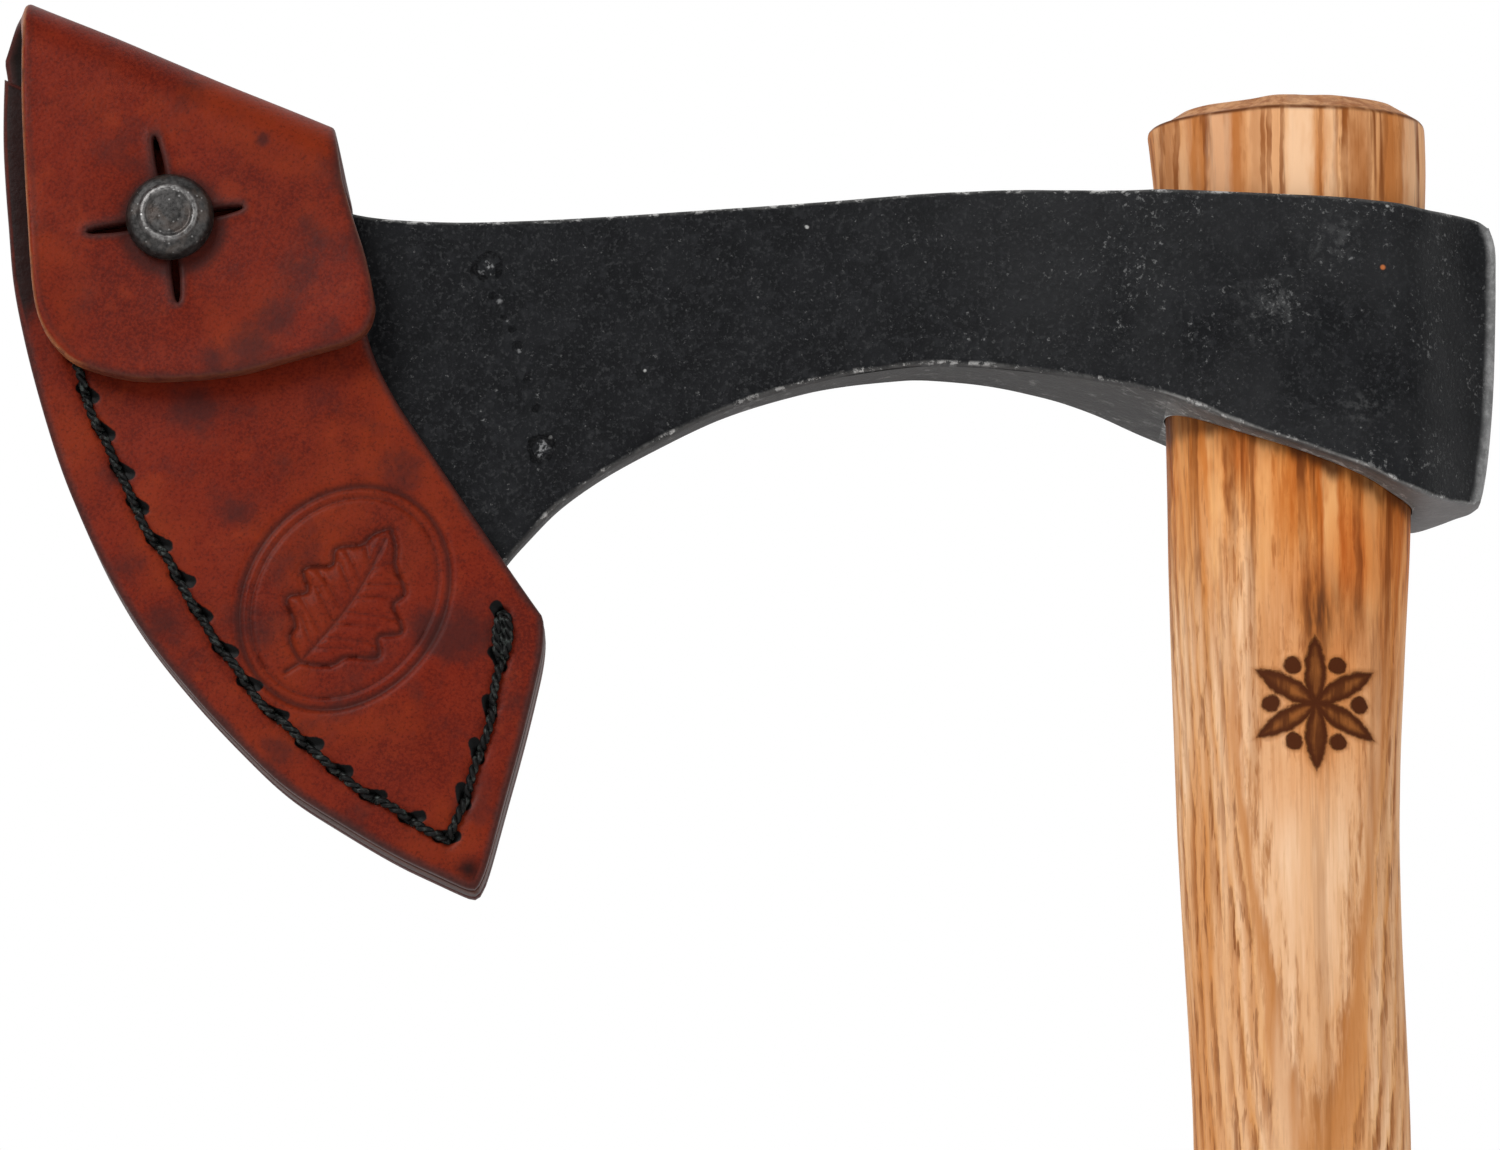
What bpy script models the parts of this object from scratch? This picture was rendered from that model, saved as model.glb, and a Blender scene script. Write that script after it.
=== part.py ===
"""Bearded hatchet with a leather edge sheath. Metres, +Z up along the handle, bit towards -X, poll towards +X."""

import math

import bmesh
import bpy
from mathutils import Vector

for old in list(bpy.data.objects):
    bpy.data.objects.remove(old, do_unlink=True)

# ---------------------------------------------------------------- sizes
UNIT = 0.145e-3            # one drawing unit
EYE_U = 1289.0             # drawing position of the handle's centre line at the eye
SHEET_U, SHEET_V = 750.0, 575.0
TILT = math.radians(12.0)  # the outline drawing is a view from this far below level
REACH = 1.05               # viewing distance of that drawing
AIM_Z = 0.3685             # height of the middle of the drawing above the butt
HANDLE_LENGTH = 0.4388

GAP = 0.0003
LEATHER = 0.0032
PANEL_IN = 0.0026          # inner faces of both panels, from the blade's mid-plane
PANEL_OUT = PANEL_IN + LEATHER
WELT_HALF = 0.0023
FLAP_IN = 0.0073           # inner face of the closed flap, in front of the mid-plane
FLAP_OUT = FLAP_IN + LEATHER
FOLD_Y = (PANEL_IN - FLAP_IN) / 2
FOLD_R_IN = (PANEL_IN + FLAP_IN) / 2
FOLD_R_OUT = FOLD_R_IN + LEATHER
HINGE_RISE = math.pi * (FOLD_R_IN + LEATHER / 2) / 2   # hinge above the ends of the bend

THREAD_R = 0.00045
HOLE_R = 0.0011
STITCH = 0.0063

STUD_HEAD_R = 0.0064
STUD_NECK_R = 0.0038
FLAP_HOLE_R = 0.0072


# ---------------------------------------------------------------- drawing to metres
def at(u, v, y=0.0):
    """The point of the drawing position (u, v) on the plane at depth y, as (x, z)."""
    a = (u - SHEET_U) * UNIT / REACH
    b = (SHEET_V - v) * UNIT / REACH
    t = (y + REACH * math.cos(TILT)) / (math.cos(TILT) - b * math.sin(TILT))
    x = (SHEET_U - EYE_U) * UNIT + t * a
    z = AIM_Z - REACH * math.sin(TILT) + t * (math.sin(TILT) + b * math.cos(TILT))
    return Vector((x, z))


def smooth(points, steps=8, closed=False):
    """A centripetal Catmull-Rom curve through the points."""
    pts = [Vector(p) for p in points]
    n = len(pts)
    out = []
    for i in range(n if closed else n - 1):
        p1, p2 = pts[i], pts[(i + 1) % n]
        p0 = pts[i - 1] if (closed or i) else p1 * 2 - p2
        p3 = pts[(i + 2) % n] if (closed or i + 2 < n) else p2 * 2 - p1
        t0 = 0.0
        t1 = t0 + max((p1 - p0).length, 1e-9) ** 0.5
        t2 = t1 + max((p2 - p1).length, 1e-9) ** 0.5
        t3 = t2 + max((p3 - p2).length, 1e-9) ** 0.5
        for k in range(steps):
            t = t1 + (t2 - t1) * k / steps
            a1 = p0 * ((t1 - t) / (t1 - t0)) + p1 * ((t - t0) / (t1 - t0))
            a2 = p1 * ((t2 - t) / (t2 - t1)) + p2 * ((t - t1) / (t2 - t1))
            a3 = p2 * ((t3 - t) / (t3 - t2)) + p3 * ((t - t2) / (t3 - t2))
            b1 = a1 * ((t2 - t) / (t2 - t0)) + a2 * ((t - t0) / (t2 - t0))
            b2 = a2 * ((t3 - t) / (t3 - t1)) + a3 * ((t - t1) / (t3 - t1))
            out.append(b1 * ((t2 - t) / (t2 - t1)) + b2 * ((t - t1) / (t2 - t1)))
    if not closed:
        out.append(pts[-1])
    return out


def along(points, fractions):
    """Points of a polyline at these fractions of its length."""
    total = [0.0]
    for a, b in zip(points, points[1:]):
        total.append(total[-1] + (b - a).length)
    out = []
    i = 0
    for f in fractions:
        want = f * total[-1]
        while i < len(points) - 2 and total[i + 1] < want:
            i += 1
        span = max(total[i + 1] - total[i], 1e-12)
        out.append(points[i].lerp(points[i + 1], min(max((want - total[i]) / span, 0), 1)))
    return out


def length_of(points):
    return sum((b - a).length for a, b in zip(points, points[1:]))


def table(pairs, x):
    """Smooth interpolation in a table of (x, value)."""
    if x <= pairs[0][0]:
        return pairs[0][1]
    for (x0, v0), (x1, v1) in zip(pairs, pairs[1:]):
        if x <= x1:
            return v0 + (v1 - v0) * (x - x0) / (x1 - x0)
    return pairs[-1][1]


# ---------------------------------------------------------------- objects
def material(name, colour, rough, metal=0.0):
    made = bpy.data.materials.new(name)
    made.use_nodes = True
    shader = made.node_tree.nodes["Principled BSDF"]
    shader.inputs["Base Color"].default_value = (*colour, 1.0)
    shader.inputs["Roughness"].default_value = rough
    shader.inputs["Metallic"].default_value = metal
    return made


def add(name, bm, mat=None, parent=None, cutter=False):
    bmesh.ops.remove_doubles(bm, verts=bm.verts, dist=1e-7)
    bmesh.ops.recalc_face_normals(bm, faces=bm.faces)
    mesh = bpy.data.meshes.new(name)
    bm.to_mesh(mesh)
    bm.free()
    obj = bpy.data.objects.new(name, mesh)
    bpy.context.scene.collection.objects.link(obj)
    if mat:
        mesh.materials.append(mat)
    if cutter:
        obj.hide_render = True
        obj.display_type = "WIRE"
    else:
        mesh.shade_smooth()
        mesh.set_sharp_from_angle(angle=math.radians(35))
    if parent:
        obj.parent = parent
        obj.matrix_parent_inverse = parent.matrix_world.inverted()
    return obj


def empty(name, where, parent=None):
    made = bpy.data.objects.new(name, None)
    made.location = where
    bpy.context.scene.collection.objects.link(made)
    bpy.context.view_layer.update()
    if parent:
        made.parent = parent
        made.matrix_parent_inverse = parent.matrix_world.inverted()
        bpy.context.view_layer.update()
    return made


def plate(outline, y0, y1):
    """A flat plate between two depths, from an outline in (x, z)."""
    bm = bmesh.new()
    face = bm.faces.new([bm.verts.new((p.x, y0, p.y)) for p in outline])
    made = bmesh.ops.extrude_face_region(bm, geom=[face])
    bmesh.ops.translate(
        bm,
        verts=[g for g in made["geom"] if isinstance(g, bmesh.types.BMVert)],
        vec=(0, y1 - y0, 0),
    )
    return bm


def tube(bm, points, radius, sides=6):
    """A closed tube with flat caps along 3-D points."""
    rings = []
    n = len(points)
    for i, p in enumerate(points):
        d = (points[min(i + 1, n - 1)] - points[max(i - 1, 0)]).normalized()
        across = d.cross(Vector((0, 1, 0)))
        if across.length < 0.05:
            across = Vector((1, 0, 0))
        across.normalize()
        up = across.cross(d).normalized()
        rings.append([
            bm.verts.new(p + radius * (math.cos(w) * across + math.sin(w) * up))
            for w in (2 * math.pi * k / sides for k in range(sides))
        ])
    for a, b in zip(rings, rings[1:]):
        for k in range(sides):
            bm.faces.new((a[k], a[(k + 1) % sides], b[(k + 1) % sides], b[k]))
    bm.faces.new(rings[0][::-1])
    bm.faces.new(rings[-1])
    return rings


def rod(x, z, y0, y1, radius, sides=20):
    """A cylinder along Y."""
    bm = bmesh.new()
    ends = [
        [bm.verts.new((x + radius * math.cos(w), y, z + radius * math.sin(w)))
         for w in (2 * math.pi * k / sides for k in range(sides))]
        for y in (y0, y1)
    ]
    for k in range(sides):
        bm.faces.new((ends[0][k], ends[0][(k + 1) % sides], ends[1][(k + 1) % sides], ends[1][k]))
    bm.faces.new(ends[0])
    bm.faces.new(ends[1])
    return bm


def turned(x, z, profile, sides=28):
    """A closed turned shape about a line along Y; profile is (radius, y), from the axis round to the axis."""
    bm = bmesh.new()
    rings = []
    for r, y in profile:
        if r < 1e-9:
            rings.append([bm.verts.new((x, y, z))])
        else:
            rings.append([
                bm.verts.new((x + r * math.cos(w), y, z + r * math.sin(w)))
                for w in (2 * math.pi * k / sides for k in range(sides))
            ])
    for a, b in zip(rings, rings[1:]):
        for k in range(sides):
            quad = [a[k % len(a)], a[(k + 1) % len(a)], b[(k + 1) % len(b)], b[k % len(b)]]
            quad = list(dict.fromkeys(quad))
            if len(quad) > 2:
                bm.faces.new(quad)
    return bm


def cut(obj, other, name="cut"):
    modifier = obj.modifiers.new(name, "BOOLEAN")
    modifier.operation = "DIFFERENCE"
    modifier.solver = "EXACT"
    modifier.object = other
    return modifier


STEEL = material("forged_steel", (0.035, 0.037, 0.040), 0.55, 0.6)
WOOD = material("ash_wood", (0.62, 0.38, 0.18), 0.5)
LEATHER_MAT = material("red_brown_leather", (0.24, 0.055, 0.030), 0.5)
LEATHER_EDGE = material("leather_core", (0.20, 0.060, 0.035), 0.6)
THREAD = material("waxed_thread", (0.012, 0.013, 0.012), 0.5)
STUD = material("stud_steel", (0.10, 0.10, 0.095), 0.4, 0.9)

hatchet = empty("hatchet_frame", (0, 0, 0))

# ---------------------------------------------------------------- handle
# (v, left edge u, right edge u, half thickness in mm)
HANDLE = [
    (118, 1146, 1423, 13.2), (150, 1149, 1425, 13.3), (187, 1154, 1425.5, 13.1),
    (300, 1161, 1421, 12.9), (400, 1165, 1415, 12.6), (480, 1167, 1411.5, 12.4),
    (540, 1168, 1410, 12.2), (640, 1171, 1405, 11.9), (760, 1175, 1400, 11.6),
    (840, 1177.5, 1399, 11.4), (940, 1183, 1401.5, 11.3), (1040, 1189, 1406.5, 11.2),
    (1120, 1193, 1410, 11.2),
]


def handle_sections():
    """(z, centre x, half width, half thickness) from the butt up."""
    out = []
    for v, left, right, half in HANDLE:
        a, b = at(left, v), at(right, v)
        out.append((a.y, (a.x + b.x) / 2, (b.x - a.x) / 2, half / 1000))
    out.sort()
    z, c, w, t = out[0]
    low = [
        (0.0, 0.0000, 0.0166, 0.0122), (0.030, 0.0002, 0.0164, 0.0119),
        (0.080, 0.0010, 0.0158, 0.0113), (0.140, 0.0018, 0.0155, 0.0110),
        (0.200, 0.0022, 0.0155, 0.0110),
    ]
    return low + [(z - 0.035, c + 0.0001, w, t - 0.0001)] + out


SECTIONS = handle_sections()


def section_at(z):
    if z <= SECTIONS[0][0]:
        return SECTIONS[0][1:]
    for s0, s1 in zip(SECTIONS, SECTIONS[1:]):
        if z <= s1[0]:
            f = (z - s0[0]) / (s1[0] - s0[0])
            return tuple(a + (b - a) * f for a, b in zip(s0[1:], s1[1:]))
    return SECTIONS[-1][1:]


def oval(angle, half_w, half_t):
    """A slightly squared oval."""
    c, s = math.cos(angle), math.sin(angle)
    power = 0.92
    return (math.copysign(abs(c) ** power, c) * half_w, math.copysign(abs(s) ** power, s) * half_t)


def shaft(levels, grow=0.0, sides=32, ends=None):
    bm = bmesh.new()
    rings = []
    for i, z in enumerate(levels):
        cx, w, t = section_at(z)
        less = ends.get(i, 0.0) if ends else 0.0
        ring = []
        for k in range(sides):
            x, y = oval(2 * math.pi * k / sides, w + grow - less, t + grow - less)
            ring.append(bm.verts.new((cx + x, y, z)))
        rings.append(ring)
    for a, b in zip(rings, rings[1:]):
        for k in range(sides):
            bm.faces.new((a[k], a[(k + 1) % sides], b[(k + 1) % sides], b[k]))
    bm.faces.new(rings[0])
    bm.faces.new(rings[-1])
    return bm


TOP = HANDLE_LENGTH
levels = [0.0, 0.0012, 0.0035] + [0.012 + (TOP - 0.019) * i / 26 for i in range(27)] + [TOP - 0.0040, TOP - 0.0020, TOP - 0.0006, TOP]
last = len(levels) - 1
handle = add(
    "handle",
    shaft(levels, ends={0: 0.0028, 1: 0.0010, last - 3: 0.0006, last - 2: 0.0019, last - 1: 0.0037, last: 0.0060}),
    WOOD, hatchet,
)

# ---------------------------------------------------------------- head
# Half thickness in mm against the drawing position.
CHEEK = [
    (0, 2.15), (520, 2.2), (600, 2.5), (700, 2.95), (800, 3.55), (860, 4.1), (927, 5.0),
    (970, 5.8), (1010, 6.8), (1060, 8.9), (1101, 11.2), (1135, 13.9), (1160, 15.4),
    (1200, 16.3), (1260, 16.6), (1360, 16.6), (1395, 16.1), (1412, 15.2), (1426, 13.2),
    (1442, 9.4), (1458, 5.4), (1472, 2.7), (1484, 1.3), (1500, 1.2),
]
TOP_EDGE = [
    (74, 112, 0.1), (120, 130, 1.2), (200, 158, 2.0), (280, 187, 2.1), (355, 213, 2.15), (440, 220.5, 2.2),
    (520, 219.5, 2.2), (600, 215.5, 2.5), (700, 209, 2.95), (800, 202, 3.55), (860, 197.5, 4.1),
    (927, 192, 5.0), (970, 190, 5.8), (1010, 188.5, 6.8), (1060, 188.5, 8.9), (1101, 189, 11.2),
    (1135, 188.5, 13.9), (1160, 187.5, 15.4), (1200, 188.5, 16.3), (1260, 191, 16.6),
    (1330, 195.5, 16.6), (1390, 202, 16.2), (1425, 208, 14.3), (1447, 212.5, 9.8),
    (1464, 217, 5.4), (1479, 220.5, 2.7), (1489, 227, 1.5),
]
# The lower edge: seen at the back up to the handle, and at the front past it.
LOW_EDGE = [
    (436, 798, 0.1), (442, 780, 0.8), (453, 735, 1.6), (466, 685, 2.0), (478, 632, 2.1), (490, 594, 2.15), (508, 567, 2.2),
    (532, 540, 2.2), (560, 512, 2.3), (600, 483, 2.5), (660, 450, 2.8), (720, 421.5, 3.05), (780, 402, 3.4),
    (840, 388.5, 3.9), (900, 382, 4.6), (927, 381, 5.0), (980, 386, 6.1), (1010, 391, 6.8),
    (1060, 404, 8.9), (1101, 418.5, 11.2), (1135, 434, 13.9), (1160, 445, 15.4),
    (1239, 423, -16.5), (1308, 446, -16.6), (1372, 469, -16.5), (1400, 483, -15.9), (1428, 495, -14.0),
    (1447, 503, -9.4), (1462, 509, -5.0), (1473, 511, -2.5), (1480, 506, -1.4),
]
EDGE = [
    (436, 798), (414, 791), (388, 777), (338, 741), (282, 684), (228, 618), (182, 545), (143, 467), (115, 392),
    (97, 330), (84, 260), (76, 180), (74, 112),
]
POLL = [(1480, 506), (1483, 494), (1487, 470), (1491, 432), (1494, 385), (1495.5, 330), (1496, 280), (1495, 245), (1489, 227)]

top_edge = smooth([at(u, v, -h / 1000) for u, v, h in TOP_EDGE])
low_edge = smooth([at(u, v, h / 1000) for u, v, h in LOW_EDGE])
cutting = smooth([at(u, v) for u, v in EDGE])
poll = smooth([at(u, v, -0.0012) for u, v in POLL])

CHEEK_X = [(at(u, 300, -h / 1000).x, h / 1000) for u, h in CHEEK]
BEVEL = [(0.0, 0.00010), (0.004, 0.00062), (0.010, 0.00125), (0.018, 0.00165), (0.030, 0.0020), (0.045, 0.0022), (0.060, 0.0030), (0.085, 0.02)]

S = [0, 0.010, 0.025, 0.045, 0.07, 0.10, 0.135, 0.17, 0.205, 0.24, 0.28, 0.32, 0.36, 0.40, 0.44, 0.48, 0.52, 0.55, 0.58, 0.61,
     0.635, 0.66, 0.68, 0.70, 0.72, 0.74, 0.76, 0.78, 0.80, 0.82, 0.84, 0.86, 0.88, 0.895, 0.91, 0.922, 0.934, 0.945, 0.955,
     0.963, 0.970, 0.977, 0.983, 0.989, 0.995, 1.0]
T = [i / 14 for i in range(15)]

top_pts, low_pts = along(top_edge, S), along(low_edge, S)
cut_pts, poll_pts = along(cutting, T), along(poll, T)


def head_point(i, j):
    """A Coons patch between the four edges."""
    s, t = S[i], T[j]
    ruled_t = low_pts[i].lerp(top_pts[i], t)
    ruled_s = cut_pts[j].lerp(poll_pts[j], s)
    corners = (
        cut_pts[0] * ((1 - s) * (1 - t)) + cut_pts[-1] * ((1 - s) * t)
        + poll_pts[0] * (s * (1 - t)) + poll_pts[-1] * (s * t)
    )
    return ruled_t + ruled_s - corners


def build_head():
    bm = bmesh.new()
    sheets = {}
    for side in (-1, 1):
        sheets[side] = []
        for i in range(len(S)):
            row = []
            for j in range(len(T)):
                p = head_point(i, j)
                far = min((p - c).length for c in cutting)
                h = min(table(CHEEK_X, p.x), table(BEVEL, far))
                row.append(bm.verts.new((p.x, side * h, p.y)))
            sheets[side].append(row)
    for side in (-1, 1):
        g = sheets[side]
        for i in range(len(S) - 1):
            for j in range(len(T) - 1):
                bm.faces.new((g[i][j], g[i + 1][j], g[i + 1][j + 1], g[i][j + 1]))
    f, b = sheets[-1], sheets[1]
    for i in range(len(S) - 1):
        for j in (0, len(T) - 1):
            bm.faces.new((f[i][j], f[i + 1][j], b[i + 1][j], b[i][j]))
    for j in range(len(T) - 1):
        for i in (0, len(S) - 1):
            bm.faces.new((f[i][j], f[i][j + 1], b[i][j + 1], b[i][j]))
    return bm


head = add("axe_head", build_head(), STEEL, hatchet)
eye_levels = [at(1300, 560).y + (at(1300, 110).y - at(1300, 560).y) * i / 10 for i in range(11)]
eye_cutter = add("eye_cutter", shaft(eye_levels, grow=GAP), cutter=True)
cut(head, eye_cutter, "eye")

# ---------------------------------------------------------------- sheath frame
SLIDE = Vector((-0.208, 0.0, -0.978)).normalized()
sheath = empty("sheath_frame", (at(300, 500).x, 0, at(300, 500).y), hatchet)

fold_a = at(26, 3, FOLD_Y - FOLD_R_OUT * math.sin(TILT))
fold_b = at(336, 130, FOLD_Y - FOLD_R_OUT * math.sin(TILT))
fold_dir = (fold_b - fold_a).normalized()
fold_up = Vector((-fold_dir.y, fold_dir.x))
if fold_up.y < 0:
    fold_up = -fold_up
line_a = fold_a - fold_up * FOLD_R_OUT * 0.96      # ends of the bend, and the middle of its arc
line_b = fold_b - fold_up * FOLD_R_OUT * 0.96
hinge = (line_a + line_b) / 2 + fold_up * HINGE_RISE


END_DIR = (at(347, 187, -FLAP_OUT) - at(336, 131, FOLD_Y)).normalized()
END_NORMAL = Vector((-END_DIR.y, END_DIR.x))
END_POINT = at(337, 131, FOLD_Y)
LEFT_FRONT = at(21, 60, -FLAP_OUT).x
LEFT_TOP = at(24, 5, FOLD_Y).x
LEFT_BACK = at(7, 42, PANEL_OUT).x


def fold_end_right(rise):
    """The right end of the folded strip, at this height above the bend's end line."""
    p = line_b + fold_up * rise
    return p - fold_dir * ((p - END_POINT).dot(END_NORMAL) / fold_dir.dot(END_NORMAL))


def fold_end_left(rise, turn):
    """The left end, at a height above the line; turn runs from 0 at the front to 1 at the back."""
    x = LEFT_FRONT + (LEFT_TOP - LEFT_FRONT) * turn * 2 if turn < 0.5 else LEFT_TOP + (LEFT_BACK - LEFT_TOP) * (turn * 2 - 1)
    p = line_a + fold_up * rise
    return p + fold_dir * ((x - p.x) / fold_dir.x)


# Outer edge of the sheath, from the top left round by the tip to the top right of the mouth.
OUTER = [
    (4, 78), (3, 110), (3, 145), (5, 185), (8, 225), (13, 283), (24, 340), (40, 402), (60, 466),
    (85, 528), (115, 591), (150, 648), (192, 701), (240, 753), (290, 800), (345, 836), (400, 868), (446, 890),
]
TIP = [(460, 896), (474, 895), (484, 886)]
RIGHT = [(491, 873), (507, 815), (523, 757), (536, 705), (544, 668), (546, 646), (545, 632)]
MOUTH = [(537, 608), (509, 568), (467, 506), (430, 451), (393, 395), (370, 345), (360, 290), (353, 232)]


def rim(u, v):
    """A point of the outer edge: drawn on the front face at the top, and on the back face at the bottom."""
    return at(u, v, PANEL_OUT if v > 500 else -PANEL_OUT)


def sheath_outline():
    body = smooth([rim(u, v) for u, v in OUTER], 3)[:-1]
    body += smooth([rim(u, v) for u, v in [OUTER[-1]] + TIP], 3)[:-1]
    body += smooth([rim(u, v) for u, v in [TIP[-1]] + RIGHT], 3)[:-1]
    body += smooth([rim(*RIGHT[-1])] + [at(u, v, -PANEL_OUT) for u, v in MOUTH], 3)
    return body


base_outline = sheath_outline()

# Seam, from the top left down to the corner, then up the right side.
SEAM_LEFT = [(48, 112), (48, 165), (52, 220), (58, 275), (66, 330), (77, 373), (101, 432), (141, 518), (188, 595), (234, 669), (291, 732), (361, 790), (404, 817), (448, 840)]
SEAM_RIGHT = [(448, 840), (463, 808), (478, 760), (492, 708), (502, 662), (503, 612)]
seam_left = smooth([at(u, v, -PANEL_OUT) for u, v in SEAM_LEFT])
seam_right = smooth([at(u, v, -PANEL_OUT) for u, v in SEAM_RIGHT])
n_left = round(length_of(seam_left) / STITCH)
n_right = round(length_of(seam_right) / STITCH)
holes = along(seam_left, [i / n_left for i in range(n_left + 1)])
holes += along(seam_right, [i / n_right for i in range(1, n_right + 1)])


def offset(points, distance):
    """Moves an open polyline to its left by the distance."""
    out = []
    for i, p in enumerate(points):
        d = (points[min(i + 1, len(points) - 1)] - points[max(i - 1, 0)]).normalized()
        out.append(p + Vector((-d.y, d.x)) * distance)
    return out


# ---------------------------------------------------------------- panels and welt
seam_holes = bmesh.new()
for p in holes:
    one = rod(p.x, p.y, -PANEL_OUT - 0.002, PANEL_OUT + 0.002, HOLE_R, 8)
    mesh = bpy.data.meshes.new("hole")
    one.to_mesh(mesh)
    one.free()
    seam_holes.from_mesh(mesh)
    bpy.data.meshes.remove(mesh)
seam_cutter = add("seam_cutter", seam_holes, cutter=True, parent=sheath)

stud_at = at(169.5, 216, -FLAP_OUT - 0.002)
screw_hole = add("screw_hole", rod(stud_at.x, stud_at.y, -PANEL_OUT - 0.001, -PANEL_IN - 0.0016, 0.0019), cutter=True, parent=sheath)
screw_sink = add("screw_sink", rod(stud_at.x, stud_at.y, -PANEL_IN - 0.0020, -PANEL_IN + 0.001, 0.0046), cutter=True, parent=sheath)

front_outline = list(base_outline)
front = add("sheath_front_panel", plate(front_outline, -PANEL_OUT, -PANEL_IN), LEATHER_MAT, sheath)
cut(front, seam_cutter, "stitch_holes")
cut(front, screw_hole, "screw_hole")
cut(front, screw_sink, "screw_sink")

# The back panel runs on up to the bend.
back_top_left = fold_end_left(0.0, 1.0)
back_top_right = fold_end_right(0.0)
back_outline = list(base_outline)
back_outline += [p - fold_up * GAP for p in (back_top_right, back_top_left)]
back = add("sheath_back_panel", plate(back_outline, PANEL_IN, PANEL_OUT), LEATHER_MAT, sheath)
cut(back, seam_cutter, "stitch_holes")

inner_left = offset(smooth([at(u, v, -PANEL_OUT) for u, v in SEAM_LEFT[:-1]], 3), 0.0016)
inner_right = offset(smooth([at(u, v, -PANEL_OUT) for u, v in SEAM_RIGHT[1:-1]], 3), 0.0016)
corner = [at(441, 825, -PANEL_OUT)]
end_out = at(545, 636, PANEL_OUT)
welt_outer = [p for p in base_outline if True]
tip_index = max(range(len(base_outline)), key=lambda i: -(base_outline[i] - end_out).length)
welt_loop = base_outline[: tip_index + 1]
welt_loop = welt_loop + [at(524, 604, -PANEL_OUT), at(497, 604, -PANEL_OUT)] + inner_right[::-1] + corner + inner_left[::-1] + [at(58, 84, -PANEL_OUT)]
welt = add("welt", plate(welt_loop, -WELT_HALF, WELT_HALF), LEATHER_EDGE, sheath)
cut(welt, seam_cutter, "stitch_holes")


# ---------------------------------------------------------------- thread
def thread_points(face, sign):
    """A run of stitches on one face: over the leather between holes, and a dip into each hole."""
    out = []
    over = face + sign * (GAP + THREAD_R)
    into = face - sign * 0.0005
    for i, p in enumerate(holes):
        out.append(Vector((p.x, into, p.y)))
        if i + 1 < len(holes):
            q = holes[i + 1]
            for f in (0.13, 0.5, 0.87):
                m = p.lerp(q, f)
                out.append(Vector((m.x, over, m.y)))
    return out


def thread(name, face, sign):
    bm = bmesh.new()
    tube(bm, thread_points(face, sign), THREAD_R, 6)
    return add(name, bm, THREAD, sheath)


thread_front = thread("seam_thread_front", -PANEL_OUT, -1)
thread_back = thread("seam_thread_back", PANEL_OUT, 1)

# ---------------------------------------------------------------- stud
stud = add(
    "stud_button",
    turned(stud_at.x, stud_at.y, [
        (0.0, -0.0082), (0.0018, -0.0082), (0.0018, -PANEL_OUT - GAP), (0.0046, -PANEL_OUT - GAP),
        (0.0046, -0.0069), (STUD_NECK_R, -0.0075), (STUD_NECK_R, -0.0106), (0.0052, -0.0110),
        (STUD_HEAD_R, -0.0117), (STUD_HEAD_R, -0.0124), (0.0060, -0.0133), (0.0048, -0.0142),
        (0.0040, -0.0146), (0.0035, -0.0146), (0.0033, -0.0143), (0.0, -0.0143),
    ]),
    STUD, sheath,
)
screw = add(
    "stud_screw",
    turned(stud_at.x, stud_at.y, [
        (0.0, -0.0029), (0.0038, -0.0029), (0.0041, -0.0032), (0.0041, -0.0042), (0.0015, -0.0042),
        (0.0015, -0.0077), (0.0, -0.0077),
    ], 20),
    STUD, sheath,
)

# ---------------------------------------------------------------- fold and flap


def build_fold():
    bm = bmesh.new()
    steps = 14
    rows = []
    for end in ("left", "right"):
        loop = []
        for r, order in ((FOLD_R_OUT, range(steps + 1)), (FOLD_R_IN, range(steps, -1, -1))):
            for k in order:
                w = math.pi * k / steps
                rise = r * math.sin(w)
                p = fold_end_right(rise) if end == "right" else fold_end_left(rise, k / steps)
                loop.append(bm.verts.new((p.x, FOLD_Y - r * math.cos(w), p.y)))
        rows.append(loop)
    a, b = rows
    n = len(a)
    for k in range(n):
        bm.faces.new((a[k], a[(k + 1) % n], b[(k + 1) % n], b[k]))
    half = steps + 1
    for row in rows:
        for k in range(steps):
            bm.faces.new((row[k], row[k + 1], row[n - 2 - k], row[n - 1 - k]))
    return bm


fold = add("flap_fold", build_fold(), LEATHER_MAT, sheath)

flap_frame = empty("flap_hinge_axis", (hinge.x, FOLD_Y, hinge.y), sheath)
flap_frame_matrix = flap_frame.matrix_world.copy()

FLAP_RIGHT = [(347, 188), (353, 213), (365, 255), (373, 292), (375, 312), (367, 332)]
FLAP_LOW = [(350, 343), (322, 351), (282, 362), (241, 373), (188, 379), (134, 379), (96, 371), (72, 361), (56, 347)]
FLAP_LEFT = [(44, 330), (35, 304), (27, 214), (21.5, 107), (21, 70)]
flap_low = smooth([at(u, v, -FLAP_OUT) for u, v in FLAP_RIGHT + FLAP_LOW + FLAP_LEFT], 3)
flap_top = [fold_end_left(0.0, 0.0) - fold_up * GAP, fold_end_right(0.0) - fold_up * GAP]
flap_low = [p for p in flap_low if (p - line_a).dot(fold_up) < -0.001]
flap = add("sheath_flap", plate([flap_top[0], flap_top[1]] + flap_low, -FLAP_OUT, -FLAP_IN), LEATHER_MAT, flap_frame)

hole_at = stud_at + Vector((0.0, -0.0003))
flap_hole = rod(hole_at.x, hole_at.y, -FLAP_OUT - 0.001, -FLAP_IN + 0.001, FLAP_HOLE_R, 28)
flap_cutter = add("flap_cutter", flap_hole, cutter=True, parent=flap_frame)
cut(flap, flap_cutter, "stud_hole")


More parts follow.
